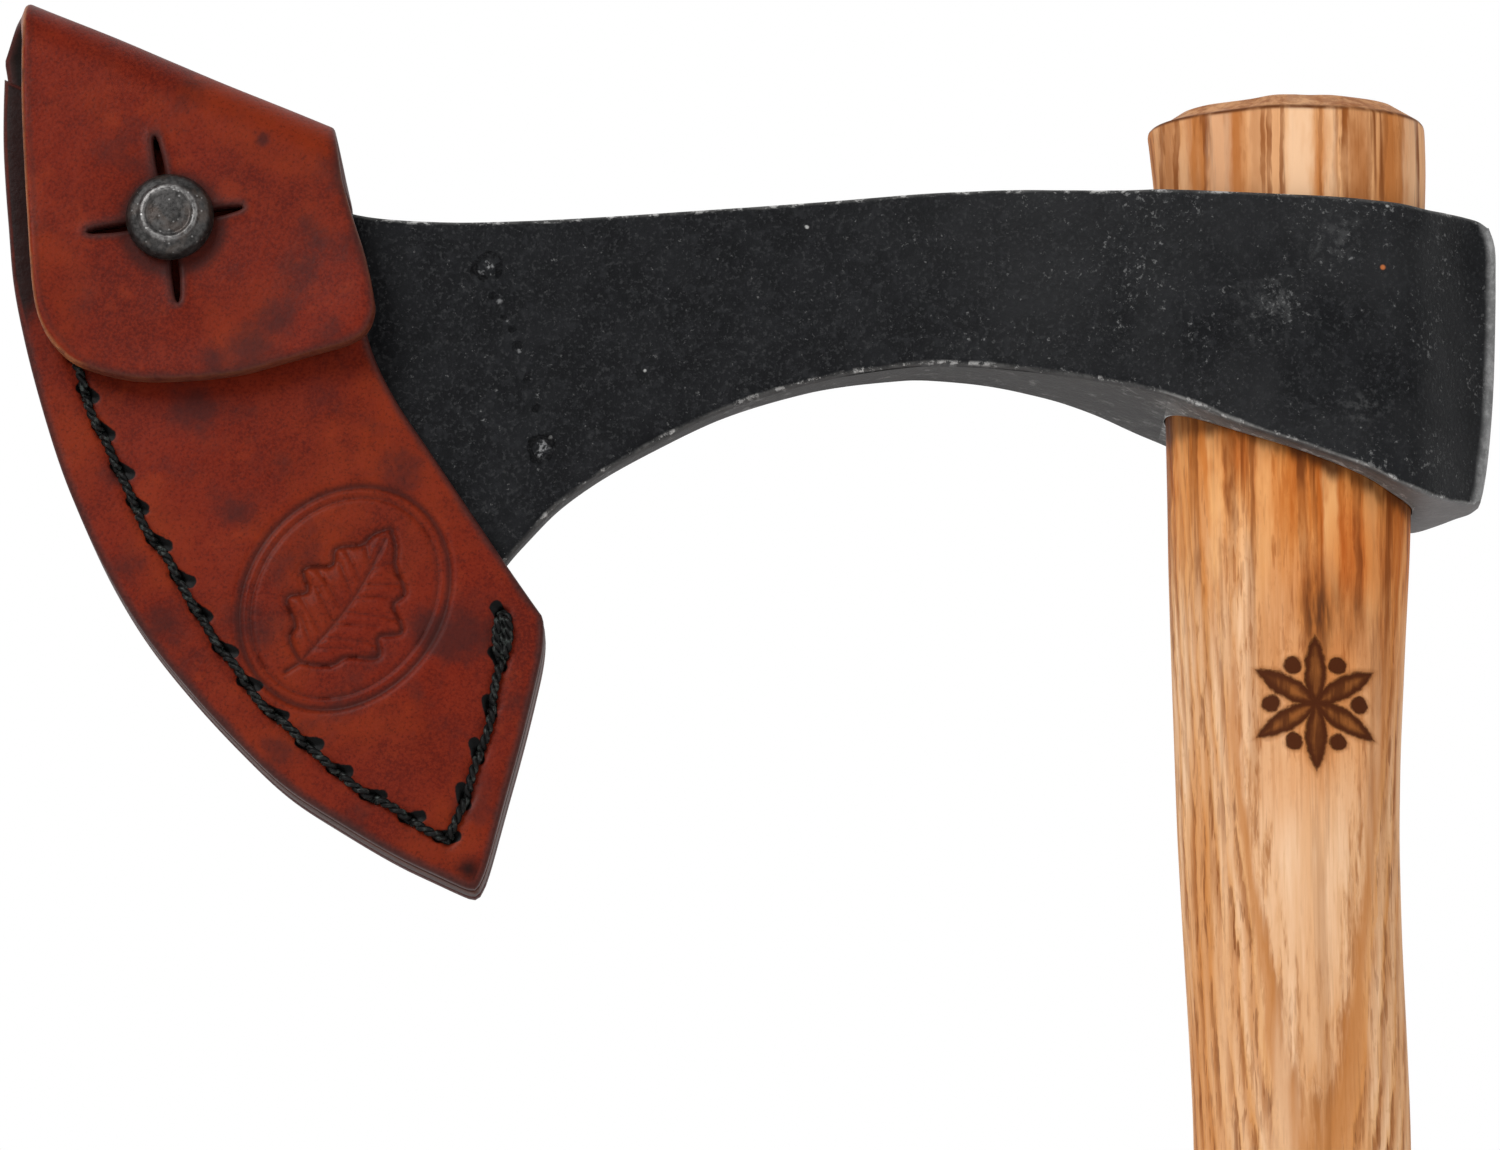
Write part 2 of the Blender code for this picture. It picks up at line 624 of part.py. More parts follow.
def slit(name, u0, v0, u1, v1):
    a, b = at(u0, v0, -FLAP_OUT), at(u1, v1, -FLAP_OUT)
    d = (b - a).normalized()
    n = Vector((-d.y, d.x))
    w = 0.00045
    loop = [a + n * w, a - n * w, b - n * w, b + d * w, b + n * w]
    return add(name, plate(loop, -FLAP_OUT - 0.001, -FLAP_IN + 0.001), cutter=True, parent=flap_frame)


for name, line in (
    ("slit_up", (161, 190, 154, 138)), ("slit_right", (196, 215, 241, 207)),
    ("slit_left", (140, 227, 90, 232)), ("slit_down", (172, 250, 179, 303)),
):
    cut(flap, slit(name, *line), name)
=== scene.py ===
import math

import bmesh
import bpy
import numpy as np
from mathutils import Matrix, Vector, geometry, noise


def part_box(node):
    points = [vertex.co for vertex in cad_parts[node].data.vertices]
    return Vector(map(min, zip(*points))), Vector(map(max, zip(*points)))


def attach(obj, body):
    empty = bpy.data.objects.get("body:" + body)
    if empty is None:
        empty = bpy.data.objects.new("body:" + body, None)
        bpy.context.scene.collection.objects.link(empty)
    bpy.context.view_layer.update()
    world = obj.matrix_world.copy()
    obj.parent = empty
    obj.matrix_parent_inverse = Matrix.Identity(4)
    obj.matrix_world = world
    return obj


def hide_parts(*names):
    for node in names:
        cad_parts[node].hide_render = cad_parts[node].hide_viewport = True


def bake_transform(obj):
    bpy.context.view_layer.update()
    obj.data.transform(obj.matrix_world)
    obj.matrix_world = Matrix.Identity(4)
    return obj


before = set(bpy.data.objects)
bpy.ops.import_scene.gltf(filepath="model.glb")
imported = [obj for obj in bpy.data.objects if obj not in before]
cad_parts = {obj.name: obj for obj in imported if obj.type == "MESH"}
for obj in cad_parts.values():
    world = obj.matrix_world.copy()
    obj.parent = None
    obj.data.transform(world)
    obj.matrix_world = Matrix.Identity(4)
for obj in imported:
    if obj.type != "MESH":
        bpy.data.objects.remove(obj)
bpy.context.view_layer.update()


# ---------------------------------------------------------------- the sizes that the CAD part has
UNIT = 0.145e-3
EYE_U = 1289.0
SHEET_U, SHEET_V = 750.0, 575.0
TILT = math.radians(12.0)
REACH = 1.05
AIM_Z = 0.3685
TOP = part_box("handle")[1][2]

LEATHER = 0.0032
PANEL_IN = 0.0026
PANEL_OUT = PANEL_IN + LEATHER
WELT_HALF = 0.0023
FLAP_IN = 0.0073
FLAP_OUT = FLAP_IN + LEATHER
FOLD_Y = (PANEL_IN - FLAP_IN) / 2
FOLD_R_IN = (PANEL_IN + FLAP_IN) / 2
FOLD_R_OUT = FOLD_R_IN + LEATHER
FOLD_R_MID = FOLD_R_IN + LEATHER / 2
STITCH = 0.0063


def at(u, v, y=0.0):
    """The drawing position (u, v) on the plane at depth y, as (x, z)."""
    a = (u - SHEET_U) * UNIT / REACH
    b = (SHEET_V - v) * UNIT / REACH
    t = (y + REACH * math.cos(TILT)) / (math.cos(TILT) - b * math.sin(TILT))
    x = (SHEET_U - EYE_U) * UNIT + t * a
    z = AIM_Z - REACH * math.sin(TILT) + t * (math.sin(TILT) + b * math.cos(TILT))
    return Vector((x, z))


def smooth(points, steps=8, closed=False):
    """A centripetal Catmull-Rom curve through the points."""
    pts = [Vector(p) for p in points]
    n = len(pts)
    out = []
    for i in range(n if closed else n - 1):
        p1, p2 = pts[i], pts[(i + 1) % n]
        p0 = pts[i - 1] if (closed or i) else p1 * 2 - p2
        p3 = pts[(i + 2) % n] if (closed or i + 2 < n) else p2 * 2 - p1
        t0 = 0.0
        t1 = t0 + max((p1 - p0).length, 1e-9) ** 0.5
        t2 = t1 + max((p2 - p1).length, 1e-9) ** 0.5
        t3 = t2 + max((p3 - p2).length, 1e-9) ** 0.5
        for k in range(steps):
            t = t1 + (t2 - t1) * k / steps
            a1 = p0 * ((t1 - t) / (t1 - t0)) + p1 * ((t - t0) / (t1 - t0))
            a2 = p1 * ((t2 - t) / (t2 - t1)) + p2 * ((t - t1) / (t2 - t1))
            a3 = p2 * ((t3 - t) / (t3 - t2)) + p3 * ((t - t2) / (t3 - t2))
            b1 = a1 * ((t2 - t) / (t2 - t0)) + a2 * ((t - t0) / (t2 - t0))
            b2 = a2 * ((t3 - t) / (t3 - t1)) + a3 * ((t - t1) / (t3 - t1))
            out.append(b1 * ((t2 - t) / (t2 - t1)) + b2 * ((t - t1) / (t2 - t1)))
    if not closed:
        out.append(pts[-1])
    return out


def array(points):
    return np.array([tuple(p) for p in points], float)


def lengths(line):
    return np.concatenate([[0.0], np.cumsum(np.linalg.norm(np.diff(line, axis=0), axis=1))])


def resample(line, count=None, pitch=None, closed=False):
    """Even points along a polyline."""
    if closed:
        line = np.vstack([line, line[:1]])
    run = lengths(line)
    if count is None:
        count = max(int(round(run[-1] / pitch)) + 1, 4)
    want = np.linspace(0, run[-1], count)
    out = np.stack([np.interp(want, run, line[:, k]) for k in range(line.shape[1])], axis=1)
    return out[:-1] if closed else out


def pick(line, fractions):
    run = lengths(line)
    want = np.asarray(fractions) * run[-1]
    return np.stack([np.interp(want, run, line[:, k]) for k in range(line.shape[1])], axis=-1)


def distance_to(points, line, closed=False):
    """Distance of each 2-D point from a polyline."""
    if closed:
        line = np.vstack([line, line[:1]])
    a, b = line[:-1], line[1:]
    ab = b - a
    size = np.maximum((ab ** 2).sum(1), 1e-18)
    best = np.full(len(points), np.inf)
    for start in range(0, len(points), 4000):
        p = points[start:start + 4000]
        ap = p[:, None, :] - a[None]
        t = np.clip((ap * ab[None]).sum(2) / size[None], 0, 1)
        gap = ap - t[..., None] * ab[None]
        best[start:start + 4000] = np.sqrt((gap ** 2).sum(2).min(1))
    return best


def inside(points, loop):
    """Which 2-D points lie inside a closed loop."""
    x, y = points[:, 0], points[:, 1]
    hit = np.zeros(len(points), bool)
    x0, y0 = loop[:, 0], loop[:, 1]
    x1, y1 = np.roll(x0, -1), np.roll(y0, -1)
    for a, b, c, d in zip(x0, y0, x1, y1):
        if b == d:
            continue
        cross = (b > y) != (d > y)
        hit ^= cross & (x < (c - a) * (y - b) / (d - b) + a)
    return hit


def ease(x):
    x = np.clip(x, 0.0, 1.0)
    return x * x * (3 - 2 * x)


def wobble(points, scale, seed):
    """Smooth noise from -1 to 1 at each 3-D point."""
    return np.array([noise.noise(Vector((p[0] * scale + seed, p[1] * scale - seed, p[2] * scale + 2 * seed))) for p in points])


# ---------------------------------------------------------------- making objects
def mesh_object(name, verts, faces, sharp=40.0):
    mesh = bpy.data.meshes.new(name)
    mesh.from_pydata([tuple(map(float, v)) for v in verts], [], [tuple(map(int, f)) for f in faces])
    mesh.validate()
    obj = bpy.data.objects.new(name, mesh)
    bpy.context.scene.collection.objects.link(obj)
    mesh.shade_smooth()
    mesh.set_sharp_from_angle(angle=math.radians(sharp))
    return obj


def face_outwards(obj):
    bm = bmesh.new()
    bm.from_mesh(obj.data)
    bmesh.ops.recalc_face_normals(bm, faces=bm.faces)
    if bm.calc_volume(signed=True) < 0:
        bmesh.ops.reverse_faces(bm, faces=bm.faces)
    bm.to_mesh(obj.data)
    bm.free()


def set_float(obj, name, values):
    attribute = obj.data.attributes.new(name, "FLOAT", "POINT")
    attribute.data.foreach_set("value", np.asarray(values, np.float32))


def set_vector(obj, name, values):
    attribute = obj.data.attributes.new(name, "FLOAT_VECTOR", "POINT")
    attribute.data.foreach_set("vector", np.asarray(values, np.float32).ravel())


# ---------------------------------------------------------------- material helpers
class Nodes:
    """Short calls for building a node material."""

    def __init__(self, name):
        self.mat = bpy.data.materials.new(name)
        self.mat.use_nodes = True
        self.tree = self.mat.node_tree
        self.shader = self.tree.nodes["Principled BSDF"]

    def node(self, kind, **settings):
        made = self.tree.nodes.new(kind)
        for key, value in settings.items():
            setattr(made, key, value)
        return made

    def put(self, socket, value):
        if isinstance(value, bpy.types.NodeSocket):
            self.tree.links.new(value, socket)
        elif value is not None:
            socket.default_value = value

    def coords(self, attribute=None):
        if attribute:
            return self.node("ShaderNodeAttribute", attribute_name=attribute).outputs["Vector"]
        return self.node("ShaderNodeTexCoord").outputs["Object"]

    def value(self, attribute):
        return self.node("ShaderNodeAttribute", attribute_name=attribute).outputs["Fac"]

    def mapped(self, vector, scale=(1, 1, 1), move=(0, 0, 0), turn=(0, 0, 0)):
        made = self.node("ShaderNodeMapping")
        self.put(made.inputs["Vector"], vector)
        made.inputs["Scale"].default_value = scale
        made.inputs["Location"].default_value = move
        made.inputs["Rotation"].default_value = turn
        return made.outputs["Vector"]

    def noise(self, vector, scale, detail=3.0, rough=0.5, distort=0.0, out="Fac"):
        made = self.node("ShaderNodeTexNoise")
        self.put(made.inputs["Vector"], vector)
        made.inputs["Scale"].default_value = scale
        made.inputs["Detail"].default_value = detail
        made.inputs["Roughness"].default_value = rough
        made.inputs["Distortion"].default_value = distort
        return made.outputs[out]

    def voronoi(self, vector, scale, feature="F1", out="Distance", random=1.0):
        made = self.node("ShaderNodeTexVoronoi", feature=feature)
        self.put(made.inputs["Vector"], vector)
        made.inputs["Scale"].default_value = scale
        made.inputs["Randomness"].default_value = random
        return made.outputs[out]

    def math(self, operation, a, b=None, c=None, clamp=False):
        made = self.node("ShaderNodeMath", operation=operation, use_clamp=clamp)
        for socket, value in zip(made.inputs, (a, b, c)):
            self.put(socket, value)
        return made.outputs[0]

    def vector(self, operation, a, b=None, out=0):
        made = self.node("ShaderNodeVectorMath", operation=operation)
        self.put(made.inputs[0], a)
        if b is not None:
            self.put(made.inputs[1], b)
        return made.outputs[out]

    def span(self, value, low, high, to_low=0.0, to_high=1.0, smooth=True):
        made = self.node("ShaderNodeMapRange", clamp=True)
        made.interpolation_type = "SMOOTHSTEP" if smooth else "LINEAR"
        self.put(made.inputs["Value"], value)
        made.inputs["From Min"].default_value = low
        made.inputs["From Max"].default_value = high
        made.inputs["To Min"].default_value = to_low
        made.inputs["To Max"].default_value = to_high
        return made.outputs["Result"]

    def ramp(self, value, stops, interpolation="LINEAR"):
        made = self.node("ShaderNodeValToRGB")
        self.put(made.inputs["Fac"], value)
        ramp = made.color_ramp
        ramp.interpolation = interpolation
        while len(ramp.elements) < len(stops):
            ramp.elements.new(0.5)
        for element, (place, colour) in zip(ramp.elements, stops):
            element.position = place
            element.color = (*colour, 1.0) if len(colour) == 3 else colour
        return made.outputs["Color"]

    def mix(self, factor, a, b, blend="MIX"):
        made = self.node("ShaderNodeMix", data_type="RGBA", blend_type=blend, clamp_factor=True)
        for key, value in ((0, factor), (6, a), (7, b)):
            if isinstance(value, tuple):
                value = (*value, 1.0) if len(value) == 3 else value
            self.put(made.inputs[key], value)
        return made.outputs[2]

    def bump(self, height, distance, strength=1.0, normal=None):
        made = self.node("ShaderNodeBump")
        made.inputs["Distance"].default_value = distance
        made.inputs["Strength"].default_value = strength
        self.put(made.inputs["Height"], height)
        if normal is not None:
            self.put(made.inputs["Normal"], normal)
        return made.outputs["Normal"]

    def split(self, vector):
        return self.node("ShaderNodeSeparateXYZ").outputs if vector is None else self._split(vector)

    def _split(self, vector):
        made = self.node("ShaderNodeSeparateXYZ")
        self.put(made.inputs[0], vector)
        return made.outputs

    def finish(self, colour=None, rough=None, metal=None, normal=None, specular=None, coat=None, sheen=None):
        inputs = self.shader.inputs
        for name, value in (
            ("Base Color", colour), ("Roughness", rough), ("Metallic", metal), ("Normal", normal),
            ("Specular IOR Level", specular), ("Coat Weight", coat), ("Sheen Weight", sheen),
        ):
            if isinstance(value, tuple) and len(value) == 3:
                value = (*value, 1.0)
            self.put(inputs[name], value)
        return self.mat


# ---------------------------------------------------------------- materials
def steel_material():
    n = Nodes("black_forged_steel")
    place = n.coords()
    x, y, z = n._split(place)
    big = n.noise(place, 28.0, 4.0, 0.6)
    mid = n.noise(place, 160.0, 5.0, 0.6)
    sand = n.noise(place, 620.0, 4.0, 0.7)
    grain = n.noise(place, 1700.0, 3.0, 0.65)
    base = n.mix(n.span(mid, 0.38, 0.66), (0.0030, 0.0034, 0.0043), (0.0072, 0.0077, 0.0090))
    base = n.mix(n.span(sand, 0.48, 0.68), base, (0.0135, 0.0141, 0.0158))
    base = n.mix(n.span(grain, 0.52, 0.68), base, (0.0235, 0.0242, 0.0256))
    toward_poll = n.span(x, -0.080, -0.004)
    dusty = n.math("MULTIPLY", toward_poll, n.span(big, 0.34, 0.60))
    base = n.mix(n.math("MULTIPLY", dusty, 0.45), base, (0.027, 0.0272, 0.0285))
    # Light specks and a few bright flakes where the scale has gone.
    patchy = n.span(n.noise(place, 60.0, 4.0, 0.6), 0.40, 0.66)
    dustier = n.math("MULTIPLY", patchy, n.math("ADD", 0.02, n.math("MULTIPLY", toward_poll, 1.15)))
    dust = n.noise(place, 1150.0, 3.0, 0.75)
    dust = n.math("ADD", dust, n.math("MULTIPLY", dustier, 0.094))
    specks = n.span(dust, 0.648, 0.730)
    base = n.mix(n.math("MULTIPLY", specks, 0.72), base, n.mix(n.span(sand, 0.4, 0.6), (0.060, 0.061, 0.062), (0.165, 0.166, 0.165)))
    flake = n.math("ADD", n.voronoi(place, 215.0), n.math("MULTIPLY", n.math("SUBTRACT", sand, 0.5), 0.16))
    cell = n._split(n.voronoi(place, 215.0, out="Color"))[0]
    flake = n.math("MULTIPLY", n.math("GREATER_THAN", cell, 0.90), n.span(flake, 0.030, 0.085, 1.0, 0.0))
    base = n.mix(n.math("MULTIPLY", flake, 0.85), base, (0.42, 0.42, 0.41))
    # Two greyer, scoured patches on the eye.
    scoured = None
    for u, v, size in ((1268, 312, 0.0062), (1360, 408, 0.0034), (1330, 240, 0.0050)):
        p = at(u, v, -0.0166)
        far = n.vector("DISTANCE", place, (p.x, -0.0166, p.y), out=1)
        far = n.math("ADD", far, n.math("MULTIPLY", n.math("SUBTRACT", mid, 0.5), size * 1.6))
        one = n.span(far, size * 0.2, size, 1.0, 0.0)
        scoured = one if scoured is None else n.math("MAXIMUM", scoured, one)
    scoured = n.math("MULTIPLY", scoured, n.span(sand, 0.42, 0.64))
    base = n.mix(n.math("MULTIPLY", scoured, 0.42), base, (0.085, 0.086, 0.086))
    # One small spot of rust.
    rust_at = at(1383, 267, -0.0164)
    rust = n.vector("DISTANCE", place, (rust_at.x, -0.0164, rust_at.y), out=1)
    rust = n.span(rust, 0.00022, 0.00052, 1.0, 0.0)
    base = n.mix(rust, base, (0.42, 0.13, 0.04))
    # Rubbed edges, brightest along the lower rim, and a bright band along the poll that is partly rubbed metal and
    # partly a painted highlight.
    rim = n.value("rim")
    poll = n.value("poll")
    chips = n.span(n.noise(place, 330.0, 5.0, 0.75), 0.40, 0.60)
    fray = n.math("ADD", rim, n.math("MULTIPLY", n.math("SUBTRACT", mid, 0.5), 0.0008))
    worn = n.math("MULTIPLY", n.span(fray, 0.00025, 0.0008, 1.0, 0.0), n.math("ADD", 0.30, n.math("MULTIPLY", chips, 0.70)))
    base = n.mix(n.math("MULTIPLY", worn, 0.8), base, (0.120, 0.119, 0.116))
    under_edge = n.math("MULTIPLY", n.span(z, at(1300, 396, -0.0166).y, at(1300, 380, -0.0166).y, 1.0, 0.0), n.span(x, -0.050, -0.020))
    under_edge = n.math("MULTIPLY", under_edge, n.span(fray, 0.0003, 0.0007, 1.0, 0.0))
    base = n.mix(n.math("MULTIPLY", under_edge, n.math("ADD", 0.45, n.math("MULTIPLY", chips, 0.50))), base, (0.230, 0.228, 0.222))
    nicks = n.math("MULTIPLY", n.span(rim, 0.0002, 0.0009, 1.0, 0.0), n.span(n.noise(place, 420.0, 4.0, 0.8), 0.53, 0.63))
    base = n.mix(nicks, base, (0.48, 0.475, 0.465))
    # Partly painted highlight: the poll's rounded corner is painted bright as if catching the light, besides its wear.
    rubbed_and_lit_poll = n.math("ADD", poll, n.math("MULTIPLY", n.math("SUBTRACT", mid, 0.5), 0.0010))
    rubbed_and_lit_poll = n.math("MULTIPLY", n.span(rubbed_and_lit_poll, 0.0007, 0.0019, 1.0, 0.0), n.math("ADD", 0.55, n.math("MULTIPLY", chips, 0.45)))
    base = n.mix(rubbed_and_lit_poll, base, n.mix(sand, (0.150, 0.150, 0.150), (0.47, 0.47, 0.467)))
    # Painted light: the narrow lower face is painted a lighter grey, as if lit from the bright ground below, palest
    # towards the poll.
    painted_lit_underside = n.math("MULTIPLY", n.value("low"), n.span(mid, 0.30, 0.60, 0.65, 1.0))
    base = n.mix(painted_lit_underside, base, n.mix(sand, (0.030, 0.029, 0.029), (0.105, 0.102, 0.102)))
    base = n.mix(n.math("MULTIPLY", painted_lit_underside, n.span(x, 0.010, 0.022)), base, n.mix(sand, (0.105, 0.102, 0.102), (0.265, 0.258, 0.258)))
    # The bit is ground bright.
    bit = n.value("bit")
    wavy = n.math("ADD", bit, n.math("MULTIPLY", n.math("SUBTRACT", n.noise(place, 60.0), 0.5), 0.0012))
    ground = n.span(wavy, 0.0064, 0.0071, 1.0, 0.0)
    across = n.node("ShaderNodeCombineXYZ")
    n.put(across.inputs[0], n.math("MULTIPLY", bit, 5200.0))
    n.put(across.inputs[1], n.math("MULTIPLY", x, 70.0))
    n.put(across.inputs[2], n.math("MULTIPLY", z, 70.0))
    lines = n.noise(across.outputs[0], 1.0, 3.0, 0.6)
    bright = n.mix(n.span(lines, 0.30, 0.70), (0.36, 0.36, 0.36), (0.60, 0.60, 0.59))
    base = n.mix(ground, base, bright)
    metal = n.math("MAXIMUM", n.math("MULTIPLY", n.math("MAXIMUM", worn, rubbed_and_lit_poll), 0.35), ground)
    rough = n.math("ADD", n.span(sand, 0.3, 0.7, 0.52, 0.66), n.math("MULTIPLY", ground, -0.24))
    # Forging marks, scale and shallow struck dents.
    height = n.math("ADD", n.math("MULTIPLY", mid, 0.7), n.math("MULTIPLY", grain, 0.7))
    height = n.math("ADD", height, n.math("MULTIPLY", sand, 1.0))
    height = n.math("ADD", height, n.math("MULTIPLY", big, 1.0))
    height = n.math("ADD", height, n.math("MULTIPLY", specks, 0.25))
    front = n.math("LESS_THAN", y, 0.0)
    flat = n.node("ShaderNodeCombineXYZ")
    n.put(flat.inputs[0], x)
    n.put(flat.inputs[2], z)
    flat = flat.outputs[0]
    dents, floors = None, None
    for u, v, size, ring in ((487, 267, 0.0021, 1), (541, 449, 0.0019, 1), (495, 297, 0.0008, 0), (504, 318, 0.0007, 0),
                             (516, 346, 0.0008, 0), (527, 377, 0.0008, 0), (536, 408, 0.0007, 0), (512, 330, 0.0006, 0)):
        p = at(u, v, -0.0022)
        far = n.vector("DISTANCE", flat, (p.x, 0.0, p.y), out=1)
        far = n.math("ADD", far, n.math("MULTIPLY", n.math("SUBTRACT", sand, 0.5), 0.0022))
        if ring:
            one = n.span(n.math("ABSOLUTE", n.math("SUBTRACT", far, size * 0.86)), size * 0.02, size * 0.30, 1.0, 0.0)
            one = n.math("MULTIPLY", one, n.span(n.noise(place, 480.0, 2.0, 0.5), 0.36, 0.54))
            floor = n.span(far, size * 0.30, size * 0.80, 1.0, 0.0)
            floors = floor if floors is None else n.math("MAXIMUM", floors, floor)
        else:
            one = n.span(far, 0.0, size * 1.1, 0.8, 0.0)
            floor = n.vector("DISTANCE", flat, (p.x + size * 0.7, 0.0, p.y - size * 0.8), out=1)
            floor = n.span(n.math("ADD", floor, n.math("MULTIPLY", n.math("SUBTRACT", sand, 0.5), 0.0012)), size * 0.2, size * 0.7, 0.8, 0.0)
            floors = n.math("MAXIMUM", floors, floor)
        dents = one if dents is None else n.math("MAXIMUM", dents, one)
    dents = n.math("MULTIPLY", dents, front)
    height = n.math("SUBTRACT", height, n.math("MULTIPLY", dents, 3.2))
    base = n.mix(n.math("MULTIPLY", dents, 0.75), base, (0.003, 0.003, 0.0035))
    base = n.mix(n.math("MULTIPLY", n.math("MULTIPLY", floors, front), n.span(n.noise(place, 700.0, 3.0, 0.7), 0.50, 0.60, 0.0, 0.9)), base, (0.210, 0.212, 0.215))
    height = n.math("MULTIPLY", height, n.math("SUBTRACT", 1.0, n.math("MULTIPLY", ground, 0.92)))
    return n.finish(base, rough, metal, n.bump(height, 0.00018, 0.95), 0.11)


MARK = at(1316, 703, -0.0118)
MARK_R = 0.0091


def wood_material():
    n = Nodes("flame_toned_ash")
    place = n.coords()
    x, y, z = n._split(place)
    # Heights measured against the head's lower edge, which slopes down towards the poll.
    low = at(1200, 417, -0.0125).y
    hang = n.math("ADD", z, n.math("MULTIPLY", n.math("MAXIMUM", n.math("SUBTRACT", x, at(1232, 417, -0.0125).x), 0.0), 0.44))
    # Millimetres from the middle of the face, pushed about by slow noise along the grain.
    slow = n.noise(n.mapped(place, (24.0, 24.0, 6.0), (0.4, 0.1, 0.7)), 1.0, 3.0, 0.5)
    slower = n.noise(n.mapped(place, (70.0, 70.0, 16.0), (3.0, 1.0, 2.0)), 1.0, 3.0, 0.6)
    u = n.math("ADD", n.math("MULTIPLY", x, 1000.0), n.math("MULTIPLY", n.math("SUBTRACT", slow, 0.5), 4.2))
    u = n.math("ADD", u, n.math("MULTIPLY", n.math("SUBTRACT", slower, 0.5), 2.4))
    ripple = n.noise(n.mapped(place, (110.0, 110.0, 52.0), (8.0, 2.0, 5.0)), 1.0, 2.0, 0.5)
    u = n.math("ADD", u, n.math("MULTIPLY", n.math("SUBTRACT", ripple, 0.5), 1.9))
    u = n.math("SUBTRACT", u, 2.3)
    tip = at(1310, 1085, -0.0112).y
    mm_z = n.math("MULTIPLY", n.math("SUBTRACT", z, tip), 1000.0)
    field = n.math("MULTIPLY", u, u)
    field = n.math("ADD", field, n.math("MULTIPLY", n.math("ADD", n.math("MULTIPLY", y, 1000.0), 11.0), 9.0))
    field = n.math("SUBTRACT", field, n.math("MULTIPLY", mm_z, 2.1))
    # Inside the tongue the rings lie nearly flat, so they are far apart.
    field = n.math("MULTIPLY", field, n.math("ADD", 0.22, n.math("MULTIPLY", n.math("GREATER_THAN", field, 0.0), 0.78)))
    # Strokes along the grain, which feather every ring's border.
    stroke = n.noise(n.mapped(place, (620.0, 620.0, 75.0)), 1.0, 3.0, 0.6)
    dash = n.noise(n.mapped(place, (1050.0, 1050.0, 130.0), (5, 1, 3)), 1.0, 3.0, 0.62)
    fibre = n.noise(n.mapped(place, (420.0, 420.0, 24.0)), 1.0, 4.0, 0.62)
    fine = n.noise(n.mapped(place, (2400.0, 2400.0, 110.0)), 1.0, 3.0, 0.6)
    speck = n.noise(n.mapped(place, (1300.0, 1300.0, 520.0)), 1.0, 3.0, 0.6)
    feather = n.math("ADD", n.math("MULTIPLY", n.math("SUBTRACT", dash, 0.5), 26.0), n.math("MULTIPLY", n.math("SUBTRACT", stroke, 0.5), 26.0))
    steep = n.span(n.math("ABSOLUTE", u), 1.0, 7.0, 0.55, 1.25)
    feathered = n.math("ADD", field, n.math("MULTIPLY", feather, steep))
    turns = n.math("DIVIDE", n.math("ADD", feathered, 5400.0), 54.0)
    ring = n.math("FRACT", turns)
    number = n.math("FLOOR", turns)
    each = n.math("FRACT", n.math("MULTIPLY", n.math("SINE", n.math("MULTIPLY", number, 12.9898)), 43758.5))
    early = n.math("MAXIMUM", n.span(ring, 0.04, 0.62, 1.0, 0.0), n.span(ring, 0.84, 1.0))
    outside = n.span(feathered, -11.0, 9.0)
    waning = n.span(n.noise(n.mapped(place, (75.0, 75.0, 26.0), (2, 7, 1)), 1.0, 3.0, 0.6), 0.36, 0.58, 0.38, 1.0)
    early = n.math("MULTIPLY", n.math("MULTIPLY", early, outside), n.math("ADD", 0.45, n.math("MULTIPLY", each, 0.55)))
    early = n.math("MULTIPLY", n.math("MULTIPLY", early, waning), n.span(n.math("ABSOLUTE", u), 0.6, 5.0, 0.60, 1.0))
    thread = n.noise(n.mapped(place, (1900.0, 1900.0, 60.0), (4, 6, 7)), 1.0, 3.0, 0.6)
    pale = n.mix(n.span(fibre, 0.34, 0.66), (0.70, 0.395, 0.200), (0.83, 0.540, 0.335))
    pale = n.mix(n.span(thread, 0.50, 0.66, 0.0, 0.45), pale, (0.56, 0.285, 0.125))
    base = n.mix(n.math("MULTIPLY", n.span(ring, 0.50, 0.90), outside), pale, n.mix(n.span(fibre, 0.40, 0.62), (0.62, 0.285, 0.100), (0.76, 0.435, 0.215)))
    tone = n.span(n.noise(n.mapped(place, (95.0, 95.0, 8.0), (1, 5, 2)), 1.0, 4.0, 0.65), 0.46, 0.68)
    base = n.mix(n.math("MULTIPLY", tone, 0.62), base, (0.585, 0.250, 0.080))
    base = n.mix(n.math("MULTIPLY", early, 0.70), base, (0.500, 0.198, 0.058))
    pores = n.math("MULTIPLY", early, n.span(stroke, 0.47, 0.59))
    base = n.mix(n.math("MULTIPLY", pores, 0.74), base, (0.295, 0.098, 0.025))
    base = n.mix(n.math("MULTIPLY", n.math("MULTIPLY", early, n.span(dash, 0.54, 0.64)), 0.68), base, (0.160, 0.050, 0.013))
    base = n.mix(n.math("MULTIPLY", n.span(dash, 0.58, 0.67), 0.48), base, (0.370, 0.145, 0.046))
    ticks = n.span(n.noise(n.mapped(place, (1500.0, 1500.0, 150.0), (3, 8, 2)), 1.0, 2.0, 0.5), 0.60, 0.66)
    base = n.mix(n.math("MULTIPLY", ticks, n.math("ADD", 0.30, n.math("MULTIPLY", early, 0.60))), base, (0.240, 0.078, 0.020))
    base = n.mix(n.math("MULTIPLY", n.span(speck, 0.46, 0.32), 0.30), base, (0.470, 0.215, 0.085))
    streak = n.span(n.noise(n.mapped(place, (300.0, 300.0, 9.0), (7, 2, 4)), 1.0, 4.0, 0.7), 0.54, 0.66)
    light = n.span(n.noise(n.mapped(place, (200.0, 200.0, 13.0), (2, 2, 9)), 1.0, 3.0, 0.6), 0.50, 0.66)
